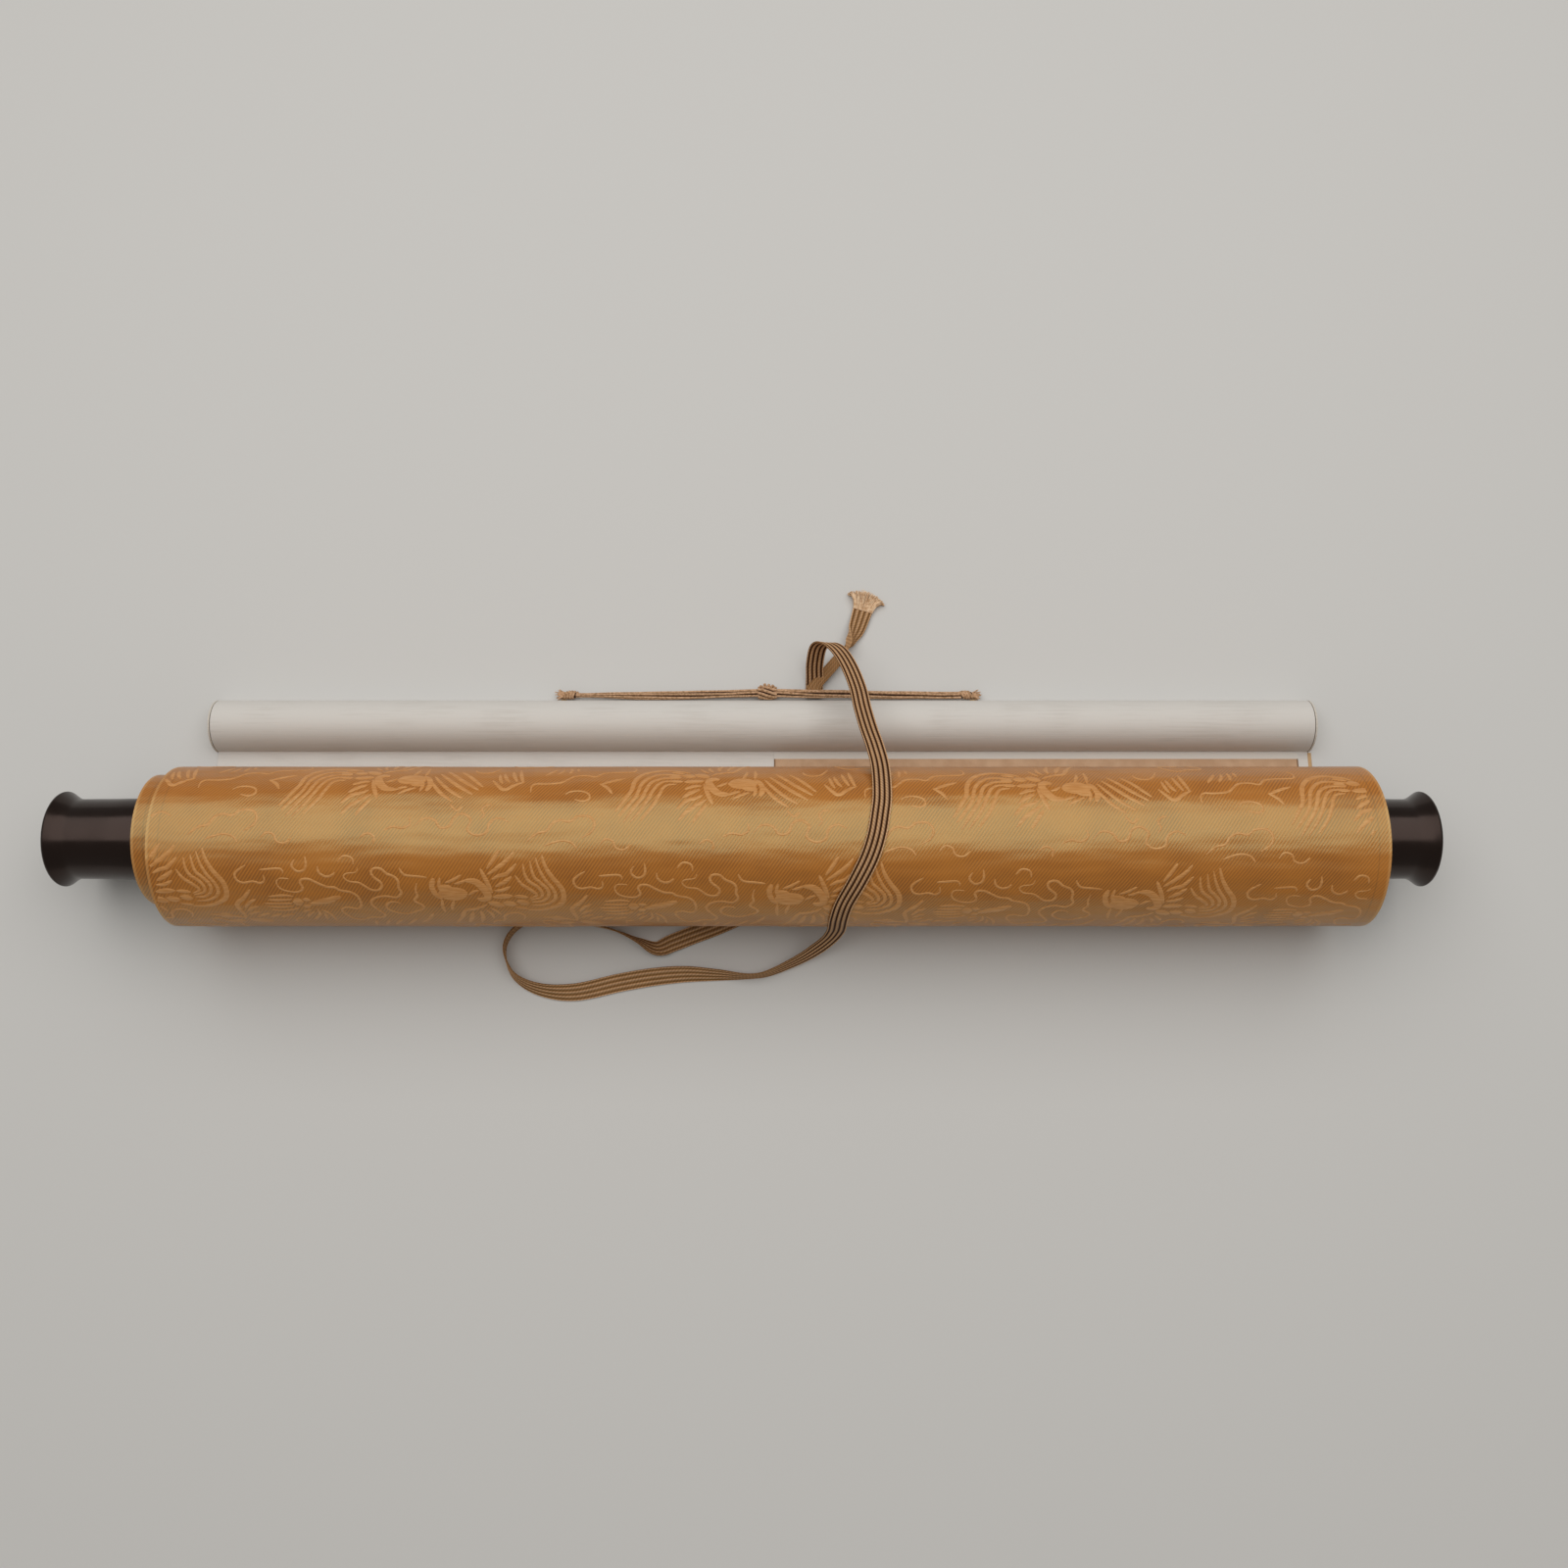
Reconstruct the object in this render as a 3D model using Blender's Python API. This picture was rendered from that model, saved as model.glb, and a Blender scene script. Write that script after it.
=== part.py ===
# A rolled hanging scroll, lying on a table with its top end a little unrolled.
#
# The long sheet is wound on a wooden roller with a black turned knob on each end. Its outer
# turn has sprung loose, lies on the table under the roll and ends in a half-round stave that
# is wrapped in the sheet's white silk. A hanging cord is tied to two wire eyes on the stave,
# and a flat tie ribbon hooks under the cord, runs over the roll and lies in a loop in front.
#
# Metres, +Z up. The roll lies along X. The origin is on the table, at the middle of the
# roller's length and below the axis of the loose outer turn. +Y is the stave's side.

import math

import bmesh
import bpy
from mathutils import Matrix, Vector

MM = 0.001
TURN = 2.0 * math.pi
CURVE_STEPS = 24                # steps between two points of a cord's route

# Sheet, cover and panel
COVER_WIDTH = 385.5 * MM
COVER_OVERHANG = 1.5 * MM       # how far the cover stands out past the sheet's right edge
COVER_THICKNESS = 0.3 * MM
SHEET_THICKNESS = 0.4 * MM
PANEL_THICKNESS = 0.15 * MM
PASTE_GAP = 0.1 * MM            # room that the layers and the turns keep between them
WELD_SHARE = 0.01               # of that gap: points closer than this are one point
SEAT_GAP = 0.3 * MM             # room that a piece keeps to what carries it
PANEL_WIDTH = 184.5 * MM
PANEL_MARGIN = 3.55 * MM        # white left bare beside the panel, at the sheet's right edge
PANEL_REACH = 26.0 * MM         # how far the panel runs from the stave towards the roll

# The roll
OUTER_TURN_RADIUS = 26.5 * MM
FLAT_SPOT = 6.0 * MM            # length of the flat that the soft outer turn rests on
LOOSE_ROOM = 4.6 * MM           # how much smaller the tight roll's radius is
INNER_ROLL_BACK = 2.6 * MM      # the tight roll lies this far behind the outer turn's axis
OUTER_STEPS = 72                # facets in one turn
INNER_STEPS = 40
OUTER_TURN_SHIFT = 8.7 * MM     # the turns have slipped along the roller
TAIL_SHIFT = 6.8 * MM
TURN_WANDER = 0.25 * MM         # how unevenly the hidden turns lie, along the roller
WANDER_RATE = 0.4
COVER_TURNS = 1.96              # turns of the sheet that the cover backs

# Where round the roll it all happens, as angles from the table up the front and over the top
SHIFT_ENDS = math.radians(80)   # the tail's slip has grown to the outer turn's
LOOSE_FROM = math.radians(195)  # the loose outer turn starts to draw in to the tight roll
LOOSE_TO = math.radians(352)
SLIP_FROM = math.radians(250)   # the turns' slip along the roller dies away
SLIP_TO = math.radians(395)

# Roller and knobs
ROLLER_RADIUS = 12.5 * MM
TENON_RADIUS = 7.0 * MM
TENON_LENGTH = 16.0 * MM
KNOB_LENGTH = 31.6 * MM
KNOB_NECK_RADIUS = 13.5 * MM
KNOB_WAIST_RADIUS = 13.2 * MM
KNOB_RIM_RADIUS = 15.7 * MM
KNOB_FLARE_LENGTH = 6.2 * MM
KNOB_EDGE_ROUND = 0.9 * MM
KNOB_DISH_DEPTH = 1.2 * MM
KNOB_DISH_RADIUS = 12.0 * MM
KNOB_DISH_SHARES = (0.7, 0.7)   # radius and depth where the dish turns flatter
KNOB_STEPS = 40

# Stave
STAVE_WIDTH = 17.0 * MM
STAVE_HEIGHT = 9.1 * MM
STAVE_BEHIND_ROLL = 12.3 * MM   # from the outer turn's back to the stave's near edge
STAVE_STEPS = 20
STAVE_END_THICKNESS = 0.5 * MM
TURN_UNDER_GAP = 0.5 * MM       # between the tail and the edge that is folded under the stave

# Cord eyes: staples of wire
EYE_PLACES = (-64.4 * MM, 80.4 * MM)
EYE_WIRE_RADIUS = 0.45 * MM
EYE_WIDTH = 3.0 * MM
EYE_SIDES = 8
EYE_DEPTH = 7.0 * MM
EYE_HEIGHT = 2.6 * MM
EYE_CLEARANCE = 0.25 * MM
EYE_PROUD = 0.5 * MM            # how far its crown stands out of the silk

# Hanging cord and its knots
CORD_RADIUS = 1.35 * MM
CORD_SPACING = 4.5 * MM
KNOT_LENGTH = 7.4 * MM
END_KNOT_RADIUS = 1.5 * MM
MIDDLE_KNOT_RADIUS = 2.35 * MM
KNOT_WRAPS = 5
KNOT_GROOVE_SHARE = 0.14
KNOT_TIP_SHARE = 0.45
KNOT_STEPS = 12
MIDDLE_KNOT_AT = 7.6 * MM
CORD_ROUTE = [
    (-60.4 * MM, 58.5 * MM, 1.9 * MM),
    (-55.0 * MM, 58.5 * MM, 1.8 * MM),
    (-47.0 * MM, 58.5 * MM, 1.8 * MM),
    (-38.0 * MM, 58.4 * MM, 1.7 * MM),
    (-26.0 * MM, 58.5 * MM, 1.7 * MM),
    (-14.0 * MM, 58.8 * MM, 1.9 * MM),
    (-4.0 * MM, 59.0 * MM, 2.3 * MM),
    (7.6 * MM, 59.1 * MM, 2.8 * MM),
    (16.0 * MM, 58.7 * MM, 3.5 * MM),
    (24.5 * MM, 58.4 * MM, 3.9 * MM),
    (33.0 * MM, 58.5 * MM, 3.4 * MM),
    (41.0 * MM, 58.6 * MM, 2.4 * MM),
    (51.0 * MM, 58.6 * MM, 1.8 * MM),
    (62.0 * MM, 58.6 * MM, 1.8 * MM),
    (70.0 * MM, 58.5 * MM, 1.8 * MM),
    (76.4 * MM, 58.5 * MM, 1.9 * MM),
]

# Tie ribbon: its route starts at the end tucked under the roll. Each point has the ribbon's
# middle and the direction that its outer face looks in.
RIBBON_WIDTH = 6.2 * MM
RIBBON_THICKNESS = 0.6 * MM
RIBBON_SPACING = 5.0 * MM
RIBBON_ROUTE = [
    (12.0 * MM, -14.6 * MM, 0.6 * MM), (0.0, 0.0, 1.0),
    (2.0 * MM, -18.6 * MM, 0.6 * MM), (0.0, 0.0, 1.0),
    (-9.3 * MM, -23.5 * MM, 0.7 * MM), (0.0, 0.0, 1.0),
    (-18.0 * MM, -26.8 * MM, 0.8 * MM), (0.0, 0.0, 1.0),
    (-24.5 * MM, -29.4 * MM, 1.2 * MM), (0.05, 0.15, 1.0),
    (-29.9 * MM, -31.4 * MM, 2.0 * MM), (0.2, 0.6, 0.8),
    (-36.2 * MM, -28.7 * MM, 3.2 * MM), (0.4, 0.87, 0.3),
    (-41.9 * MM, -26.2 * MM, 3.4 * MM), (0.35, 0.93, 0.1),
    (-48.0 * MM, -24.3 * MM, 3.4 * MM), (0.2, 0.97, 0.05),
    (-58.0 * MM, -22.4 * MM, 3.4 * MM), (0.05, 1.0, 0.0),
    (-68.0 * MM, -21.6 * MM, 3.4 * MM), (-0.15, 1.0, 0.0),
    (-75.0 * MM, -22.9 * MM, 3.4 * MM), (-0.5, 0.85, 0.0),
    (-80.0 * MM, -27.2 * MM, 3.4 * MM), (-0.9, 0.4, 0.0),
    (-81.3 * MM, -33.2 * MM, 3.3 * MM), (-1.0, -0.1, 0.1),
    (-77.6 * MM, -40.9 * MM, 3.2 * MM), (-0.7, -0.6, 0.3),
    (-68.9 * MM, -45.3 * MM, 2.9 * MM), (-0.25, -0.75, 0.6),
    (-57.1 * MM, -46.1 * MM, 1.9 * MM), (0.0, -0.45, 0.9),
    (-42.3 * MM, -42.9 * MM, 1.4 * MM), (0.05, -0.25, 0.97),
    (-31.0 * MM, -41.0 * MM, 1.7 * MM), (0.05, -0.35, 0.93),
    (-20.0 * MM, -40.1 * MM, 2.3 * MM), (0.0, -0.6, 0.8),
    (-9.0 * MM, -40.4 * MM, 3.0 * MM), (0.0, -0.85, 0.5),
    (1.6 * MM, -40.9 * MM, 3.5 * MM), (0.05, -1.0, 0.15),
    (8.5 * MM, -39.8 * MM, 3.7 * MM), (0.2, -0.97, 0.2),
    (18.8 * MM, -35.3 * MM, 4.8 * MM), (0.3, -0.85, 0.4),
    (25.0 * MM, -31.8 * MM, 7.6 * MM), (0.2, -0.8, 0.5),
    (28.6 * MM, -29.4 * MM, 12.5 * MM), (0.1, -0.9, 0.4),
    (30.2 * MM, -28.0 * MM, 19.0 * MM), (0.0, -0.98, 0.15),
    (30.6 * MM, -27.4 * MM, 26.5 * MM), (0.0, -1.0, 0.05),
    (30.9 * MM, -25.6 * MM, 35.8 * MM), (0.0, -0.94, 0.34),
    (32.4 * MM, -21.7 * MM, 42.8 * MM), (0.0, -0.8, 0.6),
    (36.4 * MM, -15.3 * MM, 48.9 * MM), (0.0, -0.56, 0.83),
    (39.9 * MM, -8.6 * MM, 52.2 * MM), (0.0, -0.32, 0.95),
    (42.1 * MM, -2.0 * MM, 53.5 * MM), (0.0, -0.07, 1.0),
    (43.4 * MM, 5.0 * MM, 53.1 * MM), (0.0, 0.19, 0.98),
    (44.2 * MM, 11.5 * MM, 51.1 * MM), (0.05, 0.43, 0.9),
    (44.2 * MM, 21.7 * MM, 45.2 * MM), (0.1, 0.55, 0.83),
    (43.0 * MM, 30.0 * MM, 39.6 * MM), (0.1, 0.55, 0.83),
    (41.2 * MM, 37.9 * MM, 34.5 * MM), (0.1, 0.53, 0.84),
    (39.7 * MM, 46.0 * MM, 29.5 * MM), (0.12, 0.5, 0.85),
    (38.4 * MM, 54.6 * MM, 24.8 * MM), (0.15, 0.48, 0.86),
    (35.7 * MM, 63.5 * MM, 20.8 * MM), (0.15, 0.5, 0.85),
    (32.4 * MM, 69.8 * MM, 18.4 * MM), (0.1, 0.65, 0.75),
    (28.6 * MM, 73.3 * MM, 15.6 * MM), (0.0, 0.95, 0.3),
    (25.6 * MM, 73.1 * MM, 11.8 * MM), (0.0, 0.95, -0.3),
    (24.4 * MM, 68.9 * MM, 6.2 * MM), (0.0, 0.7, -0.7),
    (24.4 * MM, 64.6 * MM, 2.2 * MM), (0.0, 0.5, -0.86),
    (24.3 * MM, 61.4 * MM, 0.6 * MM), (0.0, 0.1, -1.0),
    (24.2 * MM, 59.2 * MM, 0.5 * MM), (0.0, 0.0, -1.0),
    (24.2 * MM, 57.9 * MM, 1.2 * MM), (-0.1, -1.0, 0.0),
    (24.6 * MM, 59.2 * MM, 1.9 * MM), (-0.05, -0.1, 1.0),
    (25.7 * MM, 62.0 * MM, 2.1 * MM), (0.0, 0.0, 1.0),
    (28.3 * MM, 66.7 * MM, 2.4 * MM), (0.0, 0.0, 1.0),
    (31.7 * MM, 71.2 * MM, 2.6 * MM), (-0.1, 0.1, 1.0),
    (35.2 * MM, 75.3 * MM, 3.4 * MM), (-0.8, 0.6, 0.5),
    (37.8 * MM, 79.3 * MM, 3.2 * MM), (-0.75, 0.4, -0.6),
    (39.8 * MM, 84.0 * MM, 1.7 * MM), (-0.2, 0.1, -1.0),
    (41.6 * MM, 89.6 * MM, 1.1 * MM), (0.0, 0.0, -1.0),
]

# Frayed tuft at the ribbon's end, as shares of its own sizes
TUFT_LENGTH = 8.6 * MM
TUFT_WIDTH = 14.0 * MM
TUFT_HEIGHT = 3.0 * MM
TUFT_LENGTH_SHARES = (0.0, 0.3, 0.55, 0.8, 1.0)
TUFT_WIDTH_SHARES = (0.42, 0.5, 0.82, 1.0, 0.86)
TUFT_HEIGHT_SHARES = (0.2, 0.35, 0.75, 1.0, 0.7)
TUFT_STEPS = 14


def clear_scene():
    for item in list(bpy.data.objects):
        bpy.data.objects.remove(item)


def finish(red, green, blue, roughness, metallic=0.0):
    """A plain finish: its colour in linear values, its roughness and its metallic value."""
    material = bpy.data.materials.new("finish")
    material.use_nodes = True
    shader = material.node_tree.nodes["Principled BSDF"]
    shader.inputs["Base Color"].default_value = (red, green, blue, 1.0)
    shader.inputs["Roughness"].default_value = roughness
    shader.inputs["Metallic"].default_value = metallic
    return material


def add_object(name, mesh_builder, material, smooth_angle=math.radians(35)):
    """Makes one named object from a bmesh and gives it its material and shading."""
    bmesh.ops.recalc_face_normals(mesh_builder, faces=mesh_builder.faces)
    mesh = bpy.data.meshes.new(name)
    mesh_builder.to_mesh(mesh)
    mesh_builder.free()
    mesh.shade_smooth()
    mesh.set_sharp_from_angle(angle=smooth_angle)
    material.name = name
    mesh.materials.append(material)
    item = bpy.data.objects.new(name, mesh)
    bpy.context.scene.collection.objects.link(item)
    return item


def bridge_rings(mesh_builder, rings, closed=False):
    """Joins rings of vertices into a skin, and caps its two ends unless it closes on itself."""
    count = len(rings[0])
    pairs = list(zip(rings, rings[1:]))
    if closed:
        pairs.append((rings[-1], rings[0]))
    for first, second in pairs:
        for i in range(count):
            j = (i + 1) % count
            mesh_builder.faces.new((first[i], first[j], second[j], second[i]))
    if not closed:
        mesh_builder.faces.new(rings[0])
        mesh_builder.faces.new(rings[-1])


def turned_about_x(profile, steps):
    """A closed profile of (distance along X, radius) points, turned about the X axis."""
    builder = bmesh.new()
    rings = []
    for step in range(steps):
        angle = TURN * step / steps
        rings.append([
            builder.verts.new((along, radius * math.cos(angle), radius * math.sin(angle)))
            for along, radius in profile
        ])
    bridge_rings(builder, rings, closed=True)
    bmesh.ops.remove_doubles(builder, verts=builder.verts, dist=PASTE_GAP * WELD_SHARE)
    return builder


def arc(centre, radius, start, end, steps):
    """Points along an arc in a plane, with its angles in degrees."""
    points = []
    for step in range(steps + 1):
        angle = math.radians(start + (end - start) * step / steps)
        points.append((
            centre[0] + radius * math.cos(angle),
            centre[1] + radius * math.sin(angle),
        ))
    return points


def smooth_step(value):
    value = min(max(value, 0.0), 1.0)
    return value * value * (3.0 - 2.0 * value)


# The winding. Its reference curve is the outermost face of the layers, and each station on it
# is (y, z, inward y, inward z, slip along X).

SHEET_WIDTH = COVER_WIDTH - COVER_OVERHANG
INNER_ROLL_RADIUS = OUTER_TURN_RADIUS - LOOSE_ROOM
TAIL_STACK = COVER_THICKNESS + SHEET_THICKNESS + PANEL_THICKNESS + 3.0 * PASTE_GAP
LAYER_STACK = COVER_THICKNESS + PASTE_GAP + SHEET_THICKNESS
TURN_PITCH = SHEET_THICKNESS + PASTE_GAP
COVERED_PITCH = LAYER_STACK + PASTE_GAP
OUTER_AXIS_HEIGHT = math.sqrt(OUTER_TURN_RADIUS ** 2 - (FLAT_SPOT / 2.0) ** 2)
INNER_AXIS_HEIGHT = TAIL_STACK + INNER_ROLL_RADIUS
WOUND_DEPTH = INNER_ROLL_RADIUS - LAYER_STACK - SEAT_GAP - ROLLER_RADIUS
INNER_TURNS = 1.0 + (WOUND_DEPTH - COVERED_PITCH) / TURN_PITCH


def winding_station(angle):
    """The station at this angle, counted from the table up the front and over the top."""
    tight = smooth_step((angle - LOOSE_FROM) / (LOOSE_TO - LOOSE_FROM))
    wound = max(angle / TURN - 1.0, 0.0)
    depth = COVERED_PITCH * min(wound, 1.0) + TURN_PITCH * max(wound - 1.0, 0.0)
    radius = OUTER_TURN_RADIUS + (INNER_ROLL_RADIUS - OUTER_TURN_RADIUS) * tight - depth
    axis_y = INNER_ROLL_BACK * tight
    axis_z = OUTER_AXIS_HEIGHT + (INNER_AXIS_HEIGHT - OUTER_AXIS_HEIGHT) * tight
    towards_y, towards_z = math.sin(angle), math.cos(angle)
    slip = TAIL_SHIFT + (OUTER_TURN_SHIFT - TAIL_SHIFT) * smooth_step(angle / SHIFT_ENDS)
    slip *= 1.0 - smooth_step((angle - SLIP_FROM) / (SLIP_TO - SLIP_FROM))
    slip += TURN_WANDER * math.sin(angle * WANDER_RATE) * smooth_step((angle - TURN) / TURN)
    return (
        axis_y - radius * towards_y,
        axis_z - radius * towards_z,
        towards_y,
        towards_z,
        slip,
    )


def winding(end_angle):
    """Stations from the flat spot's front edge inwards."""
    angle = math.asin(FLAT_SPOT / 2.0 / OUTER_TURN_RADIUS)
    stations = []
    while angle < end_angle:
        stations.append(winding_station(angle))
        angle += TURN / (OUTER_STEPS if angle < TURN else INNER_STEPS)
    stations.append(winding_station(end_angle))
    return stations


def layer_section(stations, low, high):
    """Outer and inner points of a layer between two distances from the reference curve."""
    return [
        ((y + low * in_y, z + low * in_z), (y + high * in_y, z + high * in_z), slip)
        for y, z, in_y, in_z, slip in stations
    ]


def layer(name, section, width, offset, material):
    """A closed sheet: the section swept along X, with its ends slipped station by station."""
    builder = bmesh.new()
    rings = []
    for (outer, inner, slip) in section:
        left = slip + offset - width / 2.0
        right = slip + offset + width / 2.0
        rings.append([
            builder.verts.new((left, *outer)),
            builder.verts.new((right, *outer)),
            builder.verts.new((right, *inner)),
            builder.verts.new((left, *inner)),
        ])
    bridge_rings(builder, rings)
    return add_object(name, builder, material)


# The stave's section, and the way that the sheet is folded round it.

STAVE_LOW = SHEET_THICKNESS + SEAT_GAP
STAVE_LENGTH = SHEET_WIDTH
STAVE_DISTANCE = OUTER_TURN_RADIUS + STAVE_BEHIND_ROLL + STAVE_WIDTH / 2.0
SHEET_OFFSET = -COVER_OVERHANG / 2.0
STAVE_SHIFT = TAIL_SHIFT + SHEET_OFFSET
WRAP_INNER = SEAT_GAP
WRAP_OUTER = SEAT_GAP + SHEET_THICKNESS
TAIL_BACK_FACE = COVER_THICKNESS + PASTE_GAP
WRAP_NEAR = STAVE_DISTANCE - STAVE_WIDTH / 2.0 - WRAP_OUTER


def stave_outline(distance, angle):
    """A point at this distance from the stave's round side, at an angle from its far edge."""
    return (
        STAVE_DISTANCE + (STAVE_WIDTH / 2.0 + distance) * math.cos(angle),
        STAVE_LOW + (STAVE_HEIGHT + distance) * math.sin(angle),
    )


def wrap_section():
    """The sheet's section from the tail's end up over the stave and back under it."""
    section = []
    for step in range(STAVE_STEPS + 1):
        angle = math.pi * (1.0 - step / STAVE_STEPS)
        section.append((stave_outline(WRAP_INNER, angle), stave_outline(WRAP_OUTER, angle)))
    far = stave_outline(0.0, 0.0)[0]
    turn_steps = 4
    for step in range(1, turn_steps + 1):
        angle = -math.pi / 2.0 * step / turn_steps
        section.append((
            (far + WRAP_INNER * math.cos(angle), STAVE_LOW + WRAP_INNER * math.sin(angle)),
            (far + WRAP_OUTER * math.cos(angle), STAVE_LOW + WRAP_OUTER * math.sin(angle)),
        ))
    under_end = WRAP_NEAR + SHEET_THICKNESS + TURN_UNDER_GAP
    section.append(((under_end, SHEET_THICKNESS), (under_end, 0.0)))
    return [(inner, outer, TAIL_SHIFT) for inner, outer in section]


def make_sheet():
    """White silk on paper: the wrap, the flat tail and all the turns, as one closed solid."""
    end_angle = TURN * (1.0 + INNER_TURNS)
    turns = layer_section(winding(end_angle), TAIL_BACK_FACE, LAYER_STACK)
    tail_end = WRAP_NEAR + SHEET_THICKNESS
    tail = [(
        (tail_end, TAIL_BACK_FACE),
        (WRAP_NEAR, LAYER_STACK),
        TAIL_SHIFT,
    )]
    section = list(reversed(wrap_section())) + tail + turns
    return layer(
        "rolled_sheet", section, SHEET_WIDTH, SHEET_OFFSET, finish(0.66, 0.62, 0.56, 0.7)
    )


def make_cover():
    """Orange brocade, pasted on the sheet's back from the stave into the second turn."""
    turns = layer_section(winding(TURN * COVER_TURNS), 0.0, COVER_THICKNESS)
    edge = WRAP_NEAR - SEAT_GAP
    tail = [((edge, 0.0), (edge, COVER_THICKNESS), TAIL_SHIFT)]
    return layer("brocade_cover", tail + turns, COVER_WIDTH, 0.0, finish(0.5, 0.24, 0.06, 0.6))


def make_panel():
    """Beige paper panel on the white face of the tail."""
    low = LAYER_STACK + PASTE_GAP
    high = low + PANEL_THICKNESS
    near = WRAP_NEAR - SEAT_GAP
    middle = STAVE_SHIFT + (SHEET_WIDTH - PANEL_WIDTH) / 2.0 - PANEL_MARGIN
    section = [((y, low), (y, high), middle) for y in (near - PANEL_REACH, near)]
    return layer("inner_panel", section, PANEL_WIDTH, 0.0, finish(0.45, 0.3, 0.18, 0.75))


def make_roller():
    """Turned roller with a tenon on each end for the knobs."""
    half = COVER_WIDTH / 2.0
    profile = [
        (-half - TENON_LENGTH, 0.0),
        (-half - TENON_LENGTH, TENON_RADIUS),
        (-half, TENON_RADIUS),
        (-half, ROLLER_RADIUS),
        (half, ROLLER_RADIUS),
        (half, TENON_RADIUS),
        (half + TENON_LENGTH, TENON_RADIUS),
        (half + TENON_LENGTH, 0.0),
    ]
    roller = add_object(
        "roller_core", turned_about_x(profile, KNOB_STEPS), finish(0.45, 0.3, 0.16, 0.6)
    )
    place(roller, (0.0, INNER_ROLL_BACK, INNER_AXIS_HEIGHT))
    return roller


def place(item, position):
    """Moves a mesh to its place, so that its object stays at the origin."""
    item.data.transform(Matrix.Translation(Vector(position)))
    item.data.update()


def knob_profile():
    """Right-hand knob from the roller's end outwards: bore, neck, waist, flare and dished end."""
    bore = TENON_RADIUS + SEAT_GAP
    bore_depth = TENON_LENGTH + SEAT_GAP
    flare_start = KNOB_LENGTH - KNOB_FLARE_LENGTH
    flare_steps = 7
    profile = [(bore_depth, 0.0), (bore_depth, bore), (0.0, bore)]
    profile += [(0.0, KNOB_NECK_RADIUS - KNOB_EDGE_ROUND / 2.0)]
    profile += [(KNOB_EDGE_ROUND / 2.0, KNOB_NECK_RADIUS)]
    profile += [(flare_start * 0.5, (KNOB_NECK_RADIUS + KNOB_WAIST_RADIUS) / 2.0)]
    rise = KNOB_RIM_RADIUS - KNOB_WAIST_RADIUS
    rim_start = KNOB_LENGTH - KNOB_EDGE_ROUND
    for step in range(flare_steps + 1):
        share = step / flare_steps
        along = flare_start + (rim_start - flare_start) * share
        profile.append((along, KNOB_WAIST_RADIUS + rise * (1.0 - math.cos(share * math.pi / 2.0))))
    profile += arc(
        (rim_start, KNOB_RIM_RADIUS - KNOB_EDGE_ROUND), KNOB_EDGE_ROUND, 75, 0, 4
    )
    radius_share, depth_share = KNOB_DISH_SHARES
    profile += [(KNOB_LENGTH, KNOB_DISH_RADIUS)]
    profile += [(KNOB_LENGTH - KNOB_DISH_DEPTH * depth_share, KNOB_DISH_RADIUS * radius_share)]
    profile += [(KNOB_LENGTH - KNOB_DISH_DEPTH, 0.0)]
    return profile


def make_knobs():
    """Black lacquered knobs, each seated on the roller's tenon."""
    knobs = []
    for name, side in (("knob_left", -1.0), ("knob_right", 1.0)):
        start = COVER_WIDTH / 2.0 + SEAT_GAP
        profile = [(side * (start + along), radius) for along, radius in knob_profile()]
        knob = add_object(
            name, turned_about_x(profile, KNOB_STEPS), finish(0.006, 0.005, 0.005, 0.25)
        )
        place(knob, (0.0, INNER_ROLL_BACK, INNER_AXIS_HEIGHT))
        knobs.append(knob)
    return knobs


def d_section(distance, low):
    """The stave's outline grown by a distance, flat side down at the given height."""
    points = [
        stave_outline(distance, math.pi * step / STAVE_STEPS) for step in range(STAVE_STEPS + 1)
    ]
    if low < STAVE_LOW:
        points.append((points[-1][0], low))
        points.append((points[0][0], low))
    return points


def prism(name, outline, left, right, material):
    builder = bmesh.new()
    rings = [[builder.verts.new((x, y, z)) for y, z in outline] for x in (left, right)]
    bridge_rings(builder, rings)
    return add_object(name, builder, material)


def sweep(points, radius, sides):
    """A round bar along a path that lies in a horizontal plane."""
    builder = bmesh.new()
    rings = []
    for i, point in enumerate(points):
        before, after = points[max(i - 1, 0)], points[min(i + 1, len(points) - 1)]
        along = Vector((after[0] - before[0], after[1] - before[1], 0.0)).normalized()
        across = Vector((along.y, -along.x, 0.0))
        rings.append([
            builder.verts.new(
                Vector(point)
                + across * (radius * math.cos(TURN * k / sides))
                + Vector((0.0, 0.0, radius * math.sin(TURN * k / sides)))
            )
            for k in range(sides)
        ])
    bridge_rings(builder, rings)
    return builder


def silk_back():
    """How far back the silk on the stave's far side reaches at the eyes' height."""
    rise = EYE_HEIGHT - STAVE_LOW
    return stave_outline(WRAP_OUTER, math.asin(rise / (STAVE_HEIGHT + WRAP_OUTER)))[0]


def staple_path(place_x):
    """Two legs and a round crown, seen from above, with the legs in the stave."""
    crown_back = silk_back()
    crown_centre = crown_back + EYE_PROUD - EYE_WIRE_RADIUS - EYE_WIDTH / 2.0
    leg_end = crown_back - EYE_DEPTH
    crown = arc((place_x, crown_centre), EYE_WIDTH / 2.0, 0, 180, 8)
    plan = [(place_x + EYE_WIDTH / 2.0, leg_end)] + crown + [(place_x - EYE_WIDTH / 2.0, leg_end)]
    return [(x, y, EYE_HEIGHT) for x, y in plan]


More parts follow.
